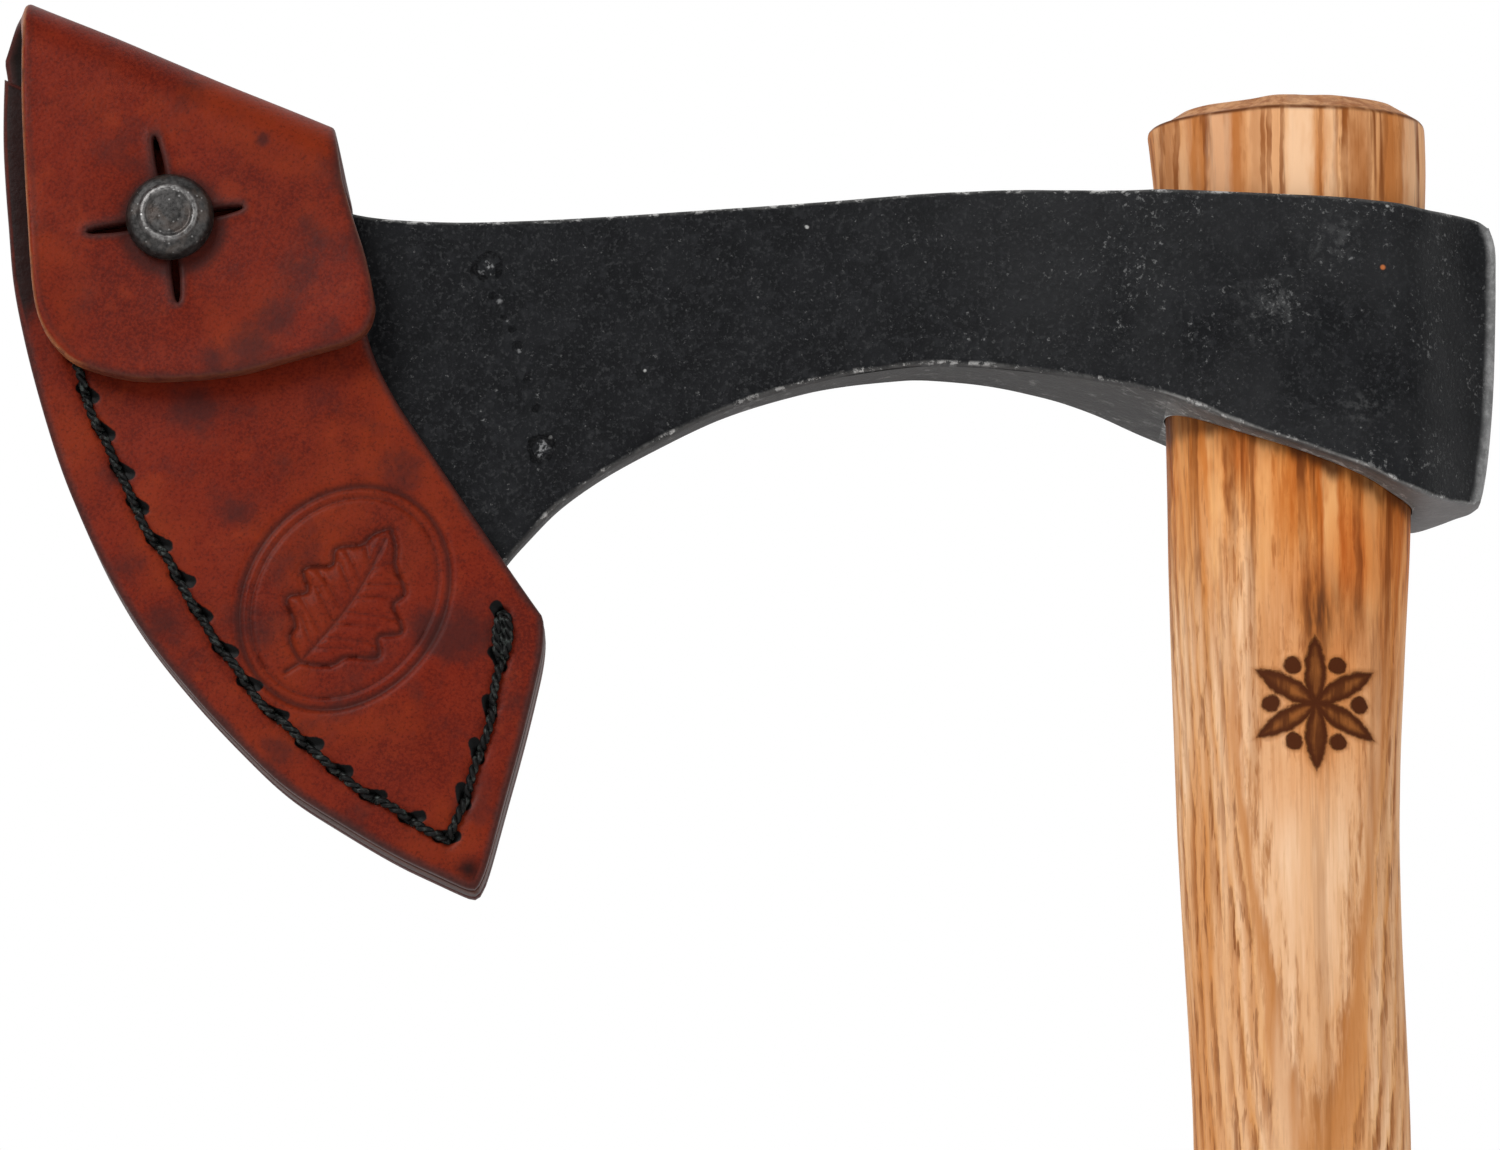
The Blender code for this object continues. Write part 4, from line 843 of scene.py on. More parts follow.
def build_head():
    top_edge = array(smooth([at(u, v, -h / 1000) for u, v, h in TOP_EDGE]))
    low_edge = array(smooth([at(u, v, h / 1000) for u, v, h in LOW_EDGE]))
    cutting = array(smooth([at(u, v) for u, v in EDGE]))
    poll = array(smooth([at(u, v, -0.0012) for u, v in POLL]))
    cheek_x = np.array([at(u, 300, -h / 1000).x for u, h in CHEEK])
    cheek_h = np.array([h / 1000 for _, h in CHEEK])
    fine_x = np.linspace(cheek_x[0], cheek_x[-1], 1200)
    step = fine_x[1] - fine_x[0]
    kernel = np.hanning(2 * int(0.0025 / step) + 3)
    kernel /= kernel.sum()
    pad = len(kernel) // 2
    raw = np.interp(fine_x, cheek_x, cheek_h)
    cheek = np.convolve(np.concatenate([np.full(pad, raw[0]), raw, np.full(pad, raw[-1])]), kernel, "valid")

    s = np.concatenate([
        np.array([0, 0.0006, 0.0015, 0.003, 0.005]), np.linspace(0.008, 0.05, 12)[:-1], np.linspace(0.05, 0.72, 120)[:-1],
        np.linspace(0.72, 0.975, 90)[:-1], np.linspace(0.975, 0.9935, 14)[:-1], np.array([0.9935, 0.9955, 0.997, 0.998, 0.9988, 0.9994, 0.9998, 1.0]),
    ])
    low, top = pick(low_edge, s), pick(top_edge, s)
    radius = np.minimum(0.0011, np.maximum(0.00008, 0.55 * np.interp(s, [0, 0.01, 0.05, 0.5, 1.0], [0.0001, 0.0005, 0.0016, 0.003, 0.003])))
    steps = np.array([0.0, 0.05, 0.16, 0.34, 0.60, 1.0, 1.7])
    cols = 46
    points = np.zeros((len(s), cols, 2))
    for i, si in enumerate(s):
        reach = np.linalg.norm(top[i] - low[i])
        near = np.minimum(steps * radius[i] / reach, 0.2)
        t = np.concatenate([near, np.linspace(near[-1], 1 - near[-1], cols - 2 * len(near) + 2)[1:-1], 1 - near[::-1]])
        cut_t, poll_t = pick(cutting, t), pick(poll, t)
        ruled_t = low[i][None] * (1 - t)[:, None] + top[i][None] * t[:, None]
        ruled_s = cut_t * (1 - si) + poll_t * si
        corners = (
            cutting[0][None] * ((1 - si) * (1 - t))[:, None] + cutting[-1][None] * ((1 - si) * t)[:, None]
            + poll[0][None] * (si * (1 - t))[:, None] + poll[-1][None] * (si * t)[:, None]
        )
        points[i] = ruled_t + ruled_s - corners
    flat = points.reshape(-1, 2)
    bit = distance_to(flat, cutting)
    rim_line = np.vstack([low_edge, poll[1:], top_edge[::-1][1:]])
    rim = distance_to(flat, rim_line)
    bevel = np.interp(bit, [0.0, 0.002, 0.004, 0.0068, 0.010, 0.018, 0.030, 0.045, 0.060, 0.085],
                      [0.00006, 0.00034, 0.00064, 0.00105, 0.00126, 0.00165, 0.0020, 0.0022, 0.0030, 0.02])
    h = np.minimum(np.interp(flat[:, 0], fine_x, cheek), bevel)
    # Slow unevenness left by the hammer.
    spots = np.stack([flat[:, 0], np.zeros(len(flat)), flat[:, 1]], axis=1)
    rough_front = wobble(spots, 70.0, 1.7) * 0.00016 + wobble(spots, 190.0, 5.2) * 0.00006
    rough_back = wobble(spots, 70.0, 8.4) * 0.00016 + wobble(spots, 190.0, 2.9) * 0.00006
    calm = ease((bit - 0.010) / 0.012) * np.clip((h - 0.0019) / 0.0010, 0.12, 1.0)
    r = np.repeat(radius, cols)
    r = np.minimum(r, h * 0.8)
    d = np.minimum(rim, r)
    drop = r - np.sqrt(np.maximum(r ** 2 - (r - d) ** 2, 0.0))
    drop = np.where(bit < 0.0012, 0.0, drop)
    front = -(h + rough_front * calm - drop)
    back = h + rough_back * calm - drop
    low_side = np.maximum
    verts = np.concatenate([
        np.stack([flat[:, 0], front, flat[:, 1]], axis=1),
        np.stack([flat[:, 0], low_side(back, -front * 0.2), flat[:, 1]], axis=1),
    ])
    rows, total = len(s), len(flat)
    faces = []
    for i in range(rows - 1):
        for j in range(cols - 1):
            a, b, c, e = i * cols + j, (i + 1) * cols + j, (i + 1) * cols + j + 1, i * cols + j + 1
            faces.append((a, b, c, e))
            faces.append((total + e, total + c, total + b, total + a))
        for j in (0, cols - 1):
            a, b = i * cols + j, (i + 1) * cols + j
            faces.append((a, total + a, total + b, b) if j == 0 else (a, b, total + b, total + a))
    for j in range(cols - 1):
        for i in (0, rows - 1):
            a, b = i * cols + j, i * cols + j + 1
            faces.append((a, b, total + b, total + a) if i == 0 else (b, a, total + a, total + b))
    obj = mesh_object("forged_head", verts, faces, 50.0)
    face_outwards(obj)
    set_float(obj, "rim", np.concatenate([rim, rim]))
    set_float(obj, "bit", np.concatenate([bit, bit]))
    poll_gap = distance_to(flat, poll)
    set_float(obj, "poll", np.concatenate([poll_gap, poll_gap]))
    # The band along the lower edge, which the steel material paints lighter as light reflected from below.
    low_gap = distance_to(flat, low_edge)
    lit_underside_band = np.where(low_gap < 0.00025, 1.0, 0.0)
    set_float(obj, "low", np.concatenate([lit_underside_band, lit_underside_band]))
    return obj


def cut_eye(obj):
    low, high = at(1300, 560).y, at(1300, 110).y
    verts, faces = shaft([(z, 0.0) for z in np.linspace(low, high, 40)], 144, grow=0.00022)
    tool = mesh_object("eye_tool", verts, faces)
    face_outwards(tool)
    made = obj.modifiers.new("eye", "BOOLEAN")
    made.operation = "DIFFERENCE"
    made.solver = "EXACT"
    made.object = tool
    graph = bpy.context.evaluated_depsgraph_get()
    mesh = bpy.data.meshes.new_from_object(obj.evaluated_get(graph), preserve_all_data_layers=True, depsgraph=graph)
    obj.modifiers.clear()
    obj.data = mesh
    bpy.data.objects.remove(tool, do_unlink=True)
    obj.data.shade_smooth()
    obj.data.set_sharp_from_angle(angle=math.radians(40))
    obj.data.materials.clear()


head = build_head()
cut_eye(head)
head.data.materials.append(STEEL)
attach(head, "hatchet")
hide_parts("axe_head")

# ---------------------------------------------------------------- sheath: lines
OUTER = [
    (4, 78), (3, 110), (3, 145), (5, 185), (8, 225), (13, 283), (24, 340), (40, 402), (60, 466),
    (85, 528), (115, 591), (150, 648), (192, 701), (240, 753), (290, 800), (345, 836), (400, 868), (446, 890),
]
TIP = [(458, 895.5), (472, 901), (478.5, 900.5), (486, 888)]
RIGHT = [(491, 873), (507, 815), (523, 757), (536, 705), (544, 668), (546, 646), (545, 632)]
MOUTH = [(537, 608), (509, 568), (467, 506), (430, 451), (393, 395), (370, 345), (360, 290), (353, 232)]
SEAM_LEFT = [(48, 112), (48, 165), (52, 220), (58, 275), (66, 330), (77, 373), (101, 432), (141, 518), (188, 595), (234, 669), (291, 732), (361, 790), (404, 817), (448, 840)]
SEAM_RIGHT = [(448, 840), (463, 808), (478, 760), (492, 708), (502, 662), (503, 612)]
FLAP_RIGHT = [(344.5, 188), (351.5, 213), (365, 255), (373, 292), (375, 312), (367, 332)]
FLAP_LOW = [(350, 343), (322, 351), (282, 362), (241, 373), (188, 379), (134, 379), (96, 371), (72, 361), (56, 347)]
FLAP_LEFT = [(44, 330), (35, 304), (27, 214), (21.5, 107), (21, 70)]

fold_a = at(26, 3, FOLD_Y - FOLD_R_OUT * math.sin(TILT))
fold_b = at(336, 130, FOLD_Y - FOLD_R_OUT * math.sin(TILT))
fold_dir = (fold_b - fold_a).normalized()
fold_up = Vector((-fold_dir.y, fold_dir.x))
line_a = fold_a - fold_up * FOLD_R_OUT * 0.96
line_b = fold_b - fold_up * FOLD_R_OUT * 0.96
END_DIR = (at(347, 187, -FLAP_OUT) - at(336, 131, FOLD_Y)).normalized()
END_NORMAL = Vector((-END_DIR.y, END_DIR.x))
END_POINT = at(337, 131, FOLD_Y)
LEFT_FRONT = at(21, 60, -FLAP_OUT).x
LEFT_TOP = at(24, 5, FOLD_Y).x
LEFT_BACK = at(7, 42, PANEL_OUT).x


def fold_end_right(rise):
    p = line_b + fold_up * rise
    return p - fold_dir * ((p - END_POINT).dot(END_NORMAL) / fold_dir.dot(END_NORMAL))


def fold_end_left(rise, turn):
    x = LEFT_FRONT + (LEFT_TOP - LEFT_FRONT) * turn * 2 if turn < 0.5 else LEFT_TOP + (LEFT_BACK - LEFT_TOP) * (turn * 2 - 1)
    p = line_a + fold_up * rise
    return p + fold_dir * ((x - p.x) / fold_dir.x)


def rim_point(u, v):
    return at(u, v, PANEL_OUT if v > 500 else -PANEL_OUT)


def panel_outline():
    body = smooth([rim_point(u, v) for u, v in OUTER], 6)[:-1]
    body += smooth([rim_point(u, v) for u, v in [OUTER[-1]] + TIP], 6)[:-1]
    body += smooth([rim_point(u, v) for u, v in [TIP[-1]] + RIGHT], 6)[:-1]
    body += smooth([rim_point(*RIGHT[-1])] + [at(u, v, -PANEL_OUT) for u, v in MOUTH], 6)
    return array(body)


PANEL = panel_outline()
seam_left = array(smooth([at(u, v, -PANEL_OUT) for u, v in SEAM_LEFT]))
seam_right = array(smooth([at(u, v, -PANEL_OUT) for u, v in SEAM_RIGHT]))
n_left = round(lengths(seam_left)[-1] / STITCH)
n_right = round(lengths(seam_right)[-1] / STITCH)
HOLES = np.vstack([pick(seam_left, np.linspace(0, 1, n_left + 1)), pick(seam_right, np.linspace(0, 1, n_right + 1))[1:]])
SEAM = np.vstack([seam_left, seam_right[1:]])
stud_at = at(169.5, 216, -FLAP_OUT - 0.002)


# ---------------------------------------------------------------- sheets with rounded rims
def triangulate(outline, holes, pitch, radius, finer=()):
    """A fine triangle net inside an outline: points, triangles, rim loops and each point's distance from a rim.
    finer: (test, pitch) pairs, where test(points) says which points lie in a region of its own pitch."""
    loops = [resample(outline, pitch=min(pitch, 0.0009), closed=True)]
    for hole in holes:
        loops.append(resample(hole, pitch=0.00035, closed=True))
    low, high = outline.min(0), outline.max(0)

    def hexagons(p):
        rows = np.arange(low[1], high[1], p * 0.866)
        out = []
        for k, row in enumerate(rows):
            xs = np.arange(low[0] + (p / 2 if k % 2 else 0), high[0], p)
            out.append(np.stack([xs, np.full(len(xs), row)], axis=1))
        return np.vstack(out)

    inner = hexagons(pitch)
    taken = np.zeros(len(inner), bool)
    extra = []
    for test, p in finer:
        taken |= test(inner)
        more = hexagons(p)
        more = more[test(more)]
        for other_test, other_p in finer:
            if other_p < p:
                more = more[~other_test(more)]
        extra.append(more)
    inner = np.vstack([inner[~taken]] + extra)
    closed_loops = [np.vstack([loop, loop[:1]]) for loop in loops]

    def rim_distance(points):
        return np.min([distance_to(points, loop) for loop in closed_loops], axis=0)

    def is_in(points):
        good = inside(points, loops[0])
        for hole in loops[1:]:
            good &= ~inside(points, hole)
        return good

    inner = inner[is_in(inner)]
    inner = inner[rim_distance(inner) > radius * 1.25]
    rings = []
    for number, loop in enumerate(loops):
        ahead, behind = np.roll(loop, -1, axis=0), np.roll(loop, 1, axis=0)
        tangent = ahead - behind
        tangent /= np.maximum(np.linalg.norm(tangent, axis=1, keepdims=True), 1e-12)
        normal = np.stack([-tangent[:, 1], tangent[:, 0]], axis=1)
        for share in (0.10, 0.32, 0.62, 1.0):
            for side in (1, -1):
                ring = loop + normal * side * radius * share
                ring = ring[is_in(ring)]
                if len(ring):
                    gap = rim_distance(ring)
                    rings.append(ring[gap > radius * share * 0.93])
    points = np.vstack(loops + rings + [inner])
    edges = []
    base = 0
    for loop in loops:
        m = len(loop)
        edges += [(base + k, base + (k + 1) % m) for k in range(m)]
        base += m
    result = geometry.delaunay_2d_cdt([Vector(p) for p in points], edges, [], 0, 1e-9)
    verts = np.array([tuple(p) for p in result[0]])
    tris = np.array([f for f in result[2] if len(f) == 3])
    keep = is_in(verts[tris].mean(1))
    tris = tris[keep]
    area = np.cross(verts[tris[:, 1]] - verts[tris[:, 0]], verts[tris[:, 2]] - verts[tris[:, 0]])
    tris = tris[np.abs(area) > 1e-16]
    used = np.unique(tris)
    index = np.full(len(verts), -1)
    index[used] = np.arange(len(used))
    verts, tris = verts[used], index[tris]
    area = np.cross(verts[tris[:, 1]] - verts[tris[:, 0]], verts[tris[:, 2]] - verts[tris[:, 0]])
    tris[area < 0] = tris[area < 0][:, ::-1]
    ends = np.concatenate([tris[:, [0, 1]], tris[:, [1, 2]], tris[:, [2, 0]]])
    keys = np.sort(ends, axis=1)
    _, where, count = np.unique(keys, axis=0, return_index=True, return_counts=True)
    border = ends[where[count == 1]]
    return verts, tris, border, rim_distance(verts)


def rounded(distance, radius):
    d = np.minimum(distance, radius)
    return radius - np.sqrt(np.maximum(radius ** 2 - (radius - d) ** 2, 0.0))


def sheet_object(name, net, outer, inner, flat=None, **marks):
    """A leather sheet from a net and the 3-D places of its two faces. marks: values of the outer face's points."""
    verts2, tris, border, rim = net
    total = len(verts2)
    verts = np.vstack([outer, inner])
    faces = [tuple(t) for t in tris] + [tuple(t[::-1] + total) for t in tris]
    faces += [(a, a + total, b + total, b) for a, b in border]
    obj = mesh_object(name, verts, faces, 70.0)
    face_outwards(obj)
    set_float(obj, "rim", np.concatenate([rim, rim]))
    for mark in ("pressed", "ink", "stain", "soil"):
        values = marks.get(mark, np.zeros(total))
        set_float(obj, mark, np.concatenate([values, values * 0]))
    flap = marks.get("flap", np.zeros(total))
    set_float(obj, "flap", np.concatenate([flap, flap]))
    # The inner face takes the flesh colour, which is partly painted shade of the sheath's inside.
    inward = ease((rim - 0.0002) / 0.0008)
    set_float(obj, "flesh_and_painted_shade", np.concatenate([np.zeros(total), inward]))
    if flat is None:
        flat = np.stack([verts2[:, 0], verts2[:, 1], np.zeros(total)], axis=1)
    set_vector(obj, "flat", np.vstack([flat + [0, 0, 0.0016], flat - [0, 0, 0.0016]]))
    return obj


def soil_at(points, spots):
    """Handling stains: (place, half width, strength) spots."""
    out = np.zeros(len(points))
    for place, size, power in spots:
        out = np.maximum(out, power * np.exp(-(np.linalg.norm(points - np.array(place), axis=1) / (1.25 * size)) ** 2))
    return out


FRONT_SOIL = [
    (237, 515, 26, 0.80), (205, 405, 34, 0.70), (300, 560, 30, 0.45), (250, 640, 34, 0.40), (330, 700, 30, 0.40), (350, 405, 30, 0.60), (330, 350, 20, 0.45), (170, 622, 22, 0.75), (462, 634, 32, 0.95),
    (433, 628, 20, 0.70), (125, 565, 18, 0.60), (282, 752, 24, 0.45), (400, 470, 22, 0.35), (290, 470, 20, 0.35), (520, 700, 14, 0.6),
    (118, 470, 16, 0.5), (350, 820, 20, 0.5), (420, 700, 18, 0.45), (385, 650, 20, 0.40),
]
FLAP_SOIL = [
    (322, 240, 24, 0.50), (304, 276, 26, 0.55), (282, 312, 22, 0.50), (250, 356, 22, 0.85), (214, 360, 15, 0.65), (188, 84, 30, 0.45), (88, 300, 18, 0.45), (136, 168, 24, 0.55),
    (340, 172, 20, 0.75), (352, 250, 24, 0.75), (262, 140, 6, 1.1), (236, 112, 26, 0.55), (110, 60, 16, 0.35), (150, 300, 18, 0.35), (330, 330, 18, 0.6),
]


def near_seam(width):
    return lambda p: distance_to(p, SEAM) < width


def slits():
    """A short slanted awl slit at each stitch hole, leaning towards the blade: its two ends."""
    tangent = np.gradient(HOLES, axis=0)
    tangent[n_left] = HOLES[n_left] - HOLES[n_left - 1]
    tangent /= np.linalg.norm(tangent, axis=1, keepdims=True)
    normal = np.stack([-tangent[:, 1], tangent[:, 0]], axis=1)
    deeper = distance_to(HOLES + normal * 0.002, PANEL, True) > distance_to(HOLES - normal * 0.002, PANEL, True)
    normal[~deeper] *= -1
    wave = np.sin(np.arange(len(HOLES)) * 2.3)[:, None] * 0.00020
    return HOLES - tangent * (0.00125 - wave) - normal * 0.00010, HOLES + tangent * (0.00080 + wave) + normal * (0.00110 + wave)


# The slits are not cut in the leather: the leather material paints them black as shade in the holes.
SLITS = slits()


def ink_at(points):
    """How near each point is to a slit: 1 on it, 0 at 1.2 mm."""
    best = np.full(len(points), 1.0)
    for a, b in zip(*SLITS):
        ab = b - a
        t = np.clip(((points - a) @ ab) / (ab @ ab), 0, 1)
        best = np.minimum(best, np.linalg.norm(points - a - t[:, None] * ab, axis=1))
    return np.clip(1 - best / 0.00175, 0, 1)


def near_holes(points):
    return ink_at(points) > 0.02


# ---------------------------------------------------------------- front panel, with an embossed leaf in an oval
LEAF_AT = np.array(tuple(at(344, 597, -PANEL_OUT)))
LEAF_TURN = math.radians(-33)


def leaf_frame(points):
    c, s = math.cos(LEAF_TURN), math.sin(LEAF_TURN)
    p = points - LEAF_AT
    return np.stack([p[:, 0] * c + p[:, 1] * s, -p[:, 0] * s + p[:, 1] * c], axis=1)


def emboss(points):
    """Height of the pressed ornament, in metres; positive stands proud. And how hard each point is pressed."""
    p = leaf_frame(points)
    w = np.linspace(0, 2 * np.pi, 181)
    oval = np.stack([0.0142 * np.cos(w), 0.0172 * np.sin(w)], axis=1)
    gap = distance_to(p, oval)
    within = inside(p, oval[:-1])
    groove = np.exp(-(gap / 0.00058) ** 2)
    groove2 = 0.7 * np.exp(-(distance_to(p, oval * [0.885, 0.905]) / 0.00034) ** 2)
    t = np.linspace(0, 1, 60)
    width = 0.0072 * np.sin(np.pi * t ** 0.80) * (1 + 0.17 * np.sin(2 * np.pi * 4.5 * t)) + 0.0002
    y = -0.0112 + 0.0232 * t
    bend = 0.0013 * np.sin(np.pi * t)
    leaf = np.vstack([np.stack([bend + width, y], axis=1), np.stack([bend - width, y], axis=1)[::-1]])
    leaf_gap = distance_to(p, leaf, closed=True)
    in_leaf = inside(p, leaf)
    vein = np.stack([bend, y], axis=1)
    stalk = distance_to(p, np.array([[-0.0011, -0.0137], [0.0, -0.0112]]))
    veins = np.exp(-(distance_to(p, vein[:-4]) / 0.00040) ** 2)
    for k in range(1, 8):
        j = 6 + 6 * k
        root = np.array([bend[j - 6], y[j - 6]])
        for side in (-1, 1):
            tip = np.array([bend[j] + side * width[j] * 0.84, y[j] + 0.0008])
            veins = np.maximum(veins, 0.75 * np.exp(-(distance_to(p, np.array([root, tip])) / 0.00030) ** 2))
    outline = np.exp(-(leaf_gap / 0.00048) ** 2)
    pressed = np.maximum.reduce([groove, groove2, outline, np.where(in_leaf, veins, 0) * 0.8, np.exp(-(stalk / 0.0004) ** 2)])
    pillow = np.where(in_leaf, ease(leaf_gap / 0.0026) * 0.00038, 0.0)
    ground = np.where(within & ~in_leaf, -0.00016 * ease(gap / 0.0012), 0.0)
    tint = np.where(within & ~in_leaf, 0.24, 0.0)
    return pillow + ground - 0.00058 * pressed, np.maximum(pressed, tint)


def near_ornament(points):
    p = leaf_frame(points)
    return (p[:, 0] / 0.0156) ** 2 + (p[:, 1] / 0.0186) ** 2 < 1


blade_line = array(smooth([at(u, v) for u, v in EDGE]))


def stitch_press(points):
    """Pull-in along the seam, deeper at each hole."""
    gap = distance_to(points, SEAM)
    hole = np.min(np.linalg.norm(points[:, None, :] - HOLES[None], axis=2), axis=1)
    return 0.00024 * np.exp(-(gap / 0.0011) ** 2) + 0.00095 * np.exp(-(hole / 0.00070) ** 2) + 0.0003 * ease(ink_at(points) * 1.4 - 0.4), np.exp(-(hole / 0.0011) ** 2)


def bulge(points, outline_gap):
    """The panel stands a little proud over the blade."""
    gap = distance_to(points, SEAM)
    return 0.00042 * ease((gap - 0.002) / 0.013) * ease(outline_gap / 0.010)


def build_front():
    radius = 0.00095
    net = triangulate(PANEL, [], 0.0016, radius, [(near_seam(0.0024), 0.00060), (near_ornament, 0.00036), (near_holes, 0.00030)])
    p, rim = net[0], net[3]
    raised, pressed = emboss(p)
    dip, holes = stitch_press(p)
    drop = rounded(rim, radius)
    spots = np.stack([p[:, 0], np.zeros(len(p)), p[:, 1]], axis=1)
    uneven = wobble(spots, 60.0, 4.4) * 0.00016
    swell = bulge(p, rim)
    outer = np.stack([p[:, 0], -(PANEL_OUT + raised + swell + uneven - dip - drop), p[:, 1]], axis=1)
    inner = np.stack([p[:, 0], -(PANEL_IN + drop), p[:, 1]], axis=1)
    # Painted shadow of the flap on the panel's left strip, and a dark patch at the tip.
    high, low = at(20, 270, -PANEL_OUT).y, at(20, 385, -PANEL_OUT).y
    side = ease((p[:, 1] - low) / (high - low)) * ease((at(60, 200).x - p[:, 0]) / 0.004) * ease((rim - 0.0003) / 0.0006)
    corner = 0.9 * np.exp(-(np.linalg.norm(p - np.array(tuple(at(474, 880))), axis=1) / 0.0030) ** 2) * ease((rim - 0.0003) / 0.001)
    return sheet_object(
        "front_leather", net, outer, inner, pressed=np.maximum(pressed * 0.80, holes), ink=ink_at(p), stain=np.maximum(side, corner),
        soil=soil_at(p, [(tuple(at(u, v, -PANEL_OUT)), size * UNIT, power) for u, v, size, power in FRONT_SOIL]),
    )


front = build_front()
front.data.materials.append(LEATHER_MAT)
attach(front, "sheath")
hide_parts("sheath_front_panel")


# ---------------------------------------------------------------- back panel, bend and flap: one strip of leather
FOLD_LENGTH = math.pi * FOLD_R_MID


def to_strip(p):
    """(x, z) below the bend's line to (along, up) from line_a."""
    d = Vector(p) - line_a
    return (d.dot(fold_dir), d.dot(fold_up))


def from_strip(along, up):
    base = np.array(tuple(line_a))
    return base + np.outer(along, tuple(fold_dir)) + np.outer(up, tuple(fold_up))


def strip_outline():
    left_bend, right_bend = [], []
    for k in range(25):
        turn = k / 24
        rise = FOLD_R_MID * math.sin(math.pi * turn)
        q = FOLD_LENGTH * turn
        right_bend.append((to_strip(fold_end_right(rise))[0] - 0.0010 * math.sin(math.pi * min(turn * 1.25, 1.0) * 0.72), q))
        left_bend.append((to_strip(fold_end_left(rise, 1 - turn))[0], q))
    back = [to_strip(p) for p in PANEL]
    flap = [to_strip(p) for p in smooth([at(u, v, -FLAP_OUT) for u, v in FLAP_RIGHT + FLAP_LOW + FLAP_LEFT], 6)]
    flap = [(a, FOLD_LENGTH - up) for a, up in flap if up < -0.0008]
    return np.array(back + right_bend + flap + left_bend[::-1])


def star_hole():
    """The stud's hole with four cuts running out from it."""
    centre = np.array(tuple(stud_at)) + [0.0, -0.0001]
    tips = [np.array(tuple(at(u, v, -FLAP_OUT))) for u, v in ((243, 207), (154, 135), (87, 232), (178, 303))]
    angles = [math.atan2(*(tip - centre)[::-1]) for tip in tips]
    out = []
    r = 0.0054
    for k in range(4):
        a, b = angles[k], angles[(k + 1) % 4]
        while b < a:
            b += 2 * math.pi
        half = 0.00050
        tip = tips[k]
        d = (tip - centre) / np.linalg.norm(tip - centre)
        side = np.array([-d[1], d[0]])
        far = np.linalg.norm(tip - centre)
        near = math.asin(half * 1.1 / r)
        out.append(centre + d * r - side * half)
        out.append(centre + d * (r + (far - r) * 0.45) - side * half * 1.15)
        out.append(centre + d * (far - 0.0009) - side * half * 0.75)
        out.append(centre + d * (far - 0.0002) - side * half * 0.3)
        out.append(centre + d * far)
        out.append(centre + d * (far - 0.0002) + side * half * 0.3)
        out.append(centre + d * (far - 0.0009) + side * half * 0.75)
        out.append(centre + d * (r + (far - r) * 0.45) + side * half * 1.15)
        out.append(centre + d * r + side * half)
        for w in np.linspace(a + near * 1.6, b - near * 1.6, 14):
            out.append(centre + r * np.array([math.cos(w), math.sin(w)]))
    return np.array([(to_strip(p)[0], FOLD_LENGTH - to_strip(p)[1]) for p in out])


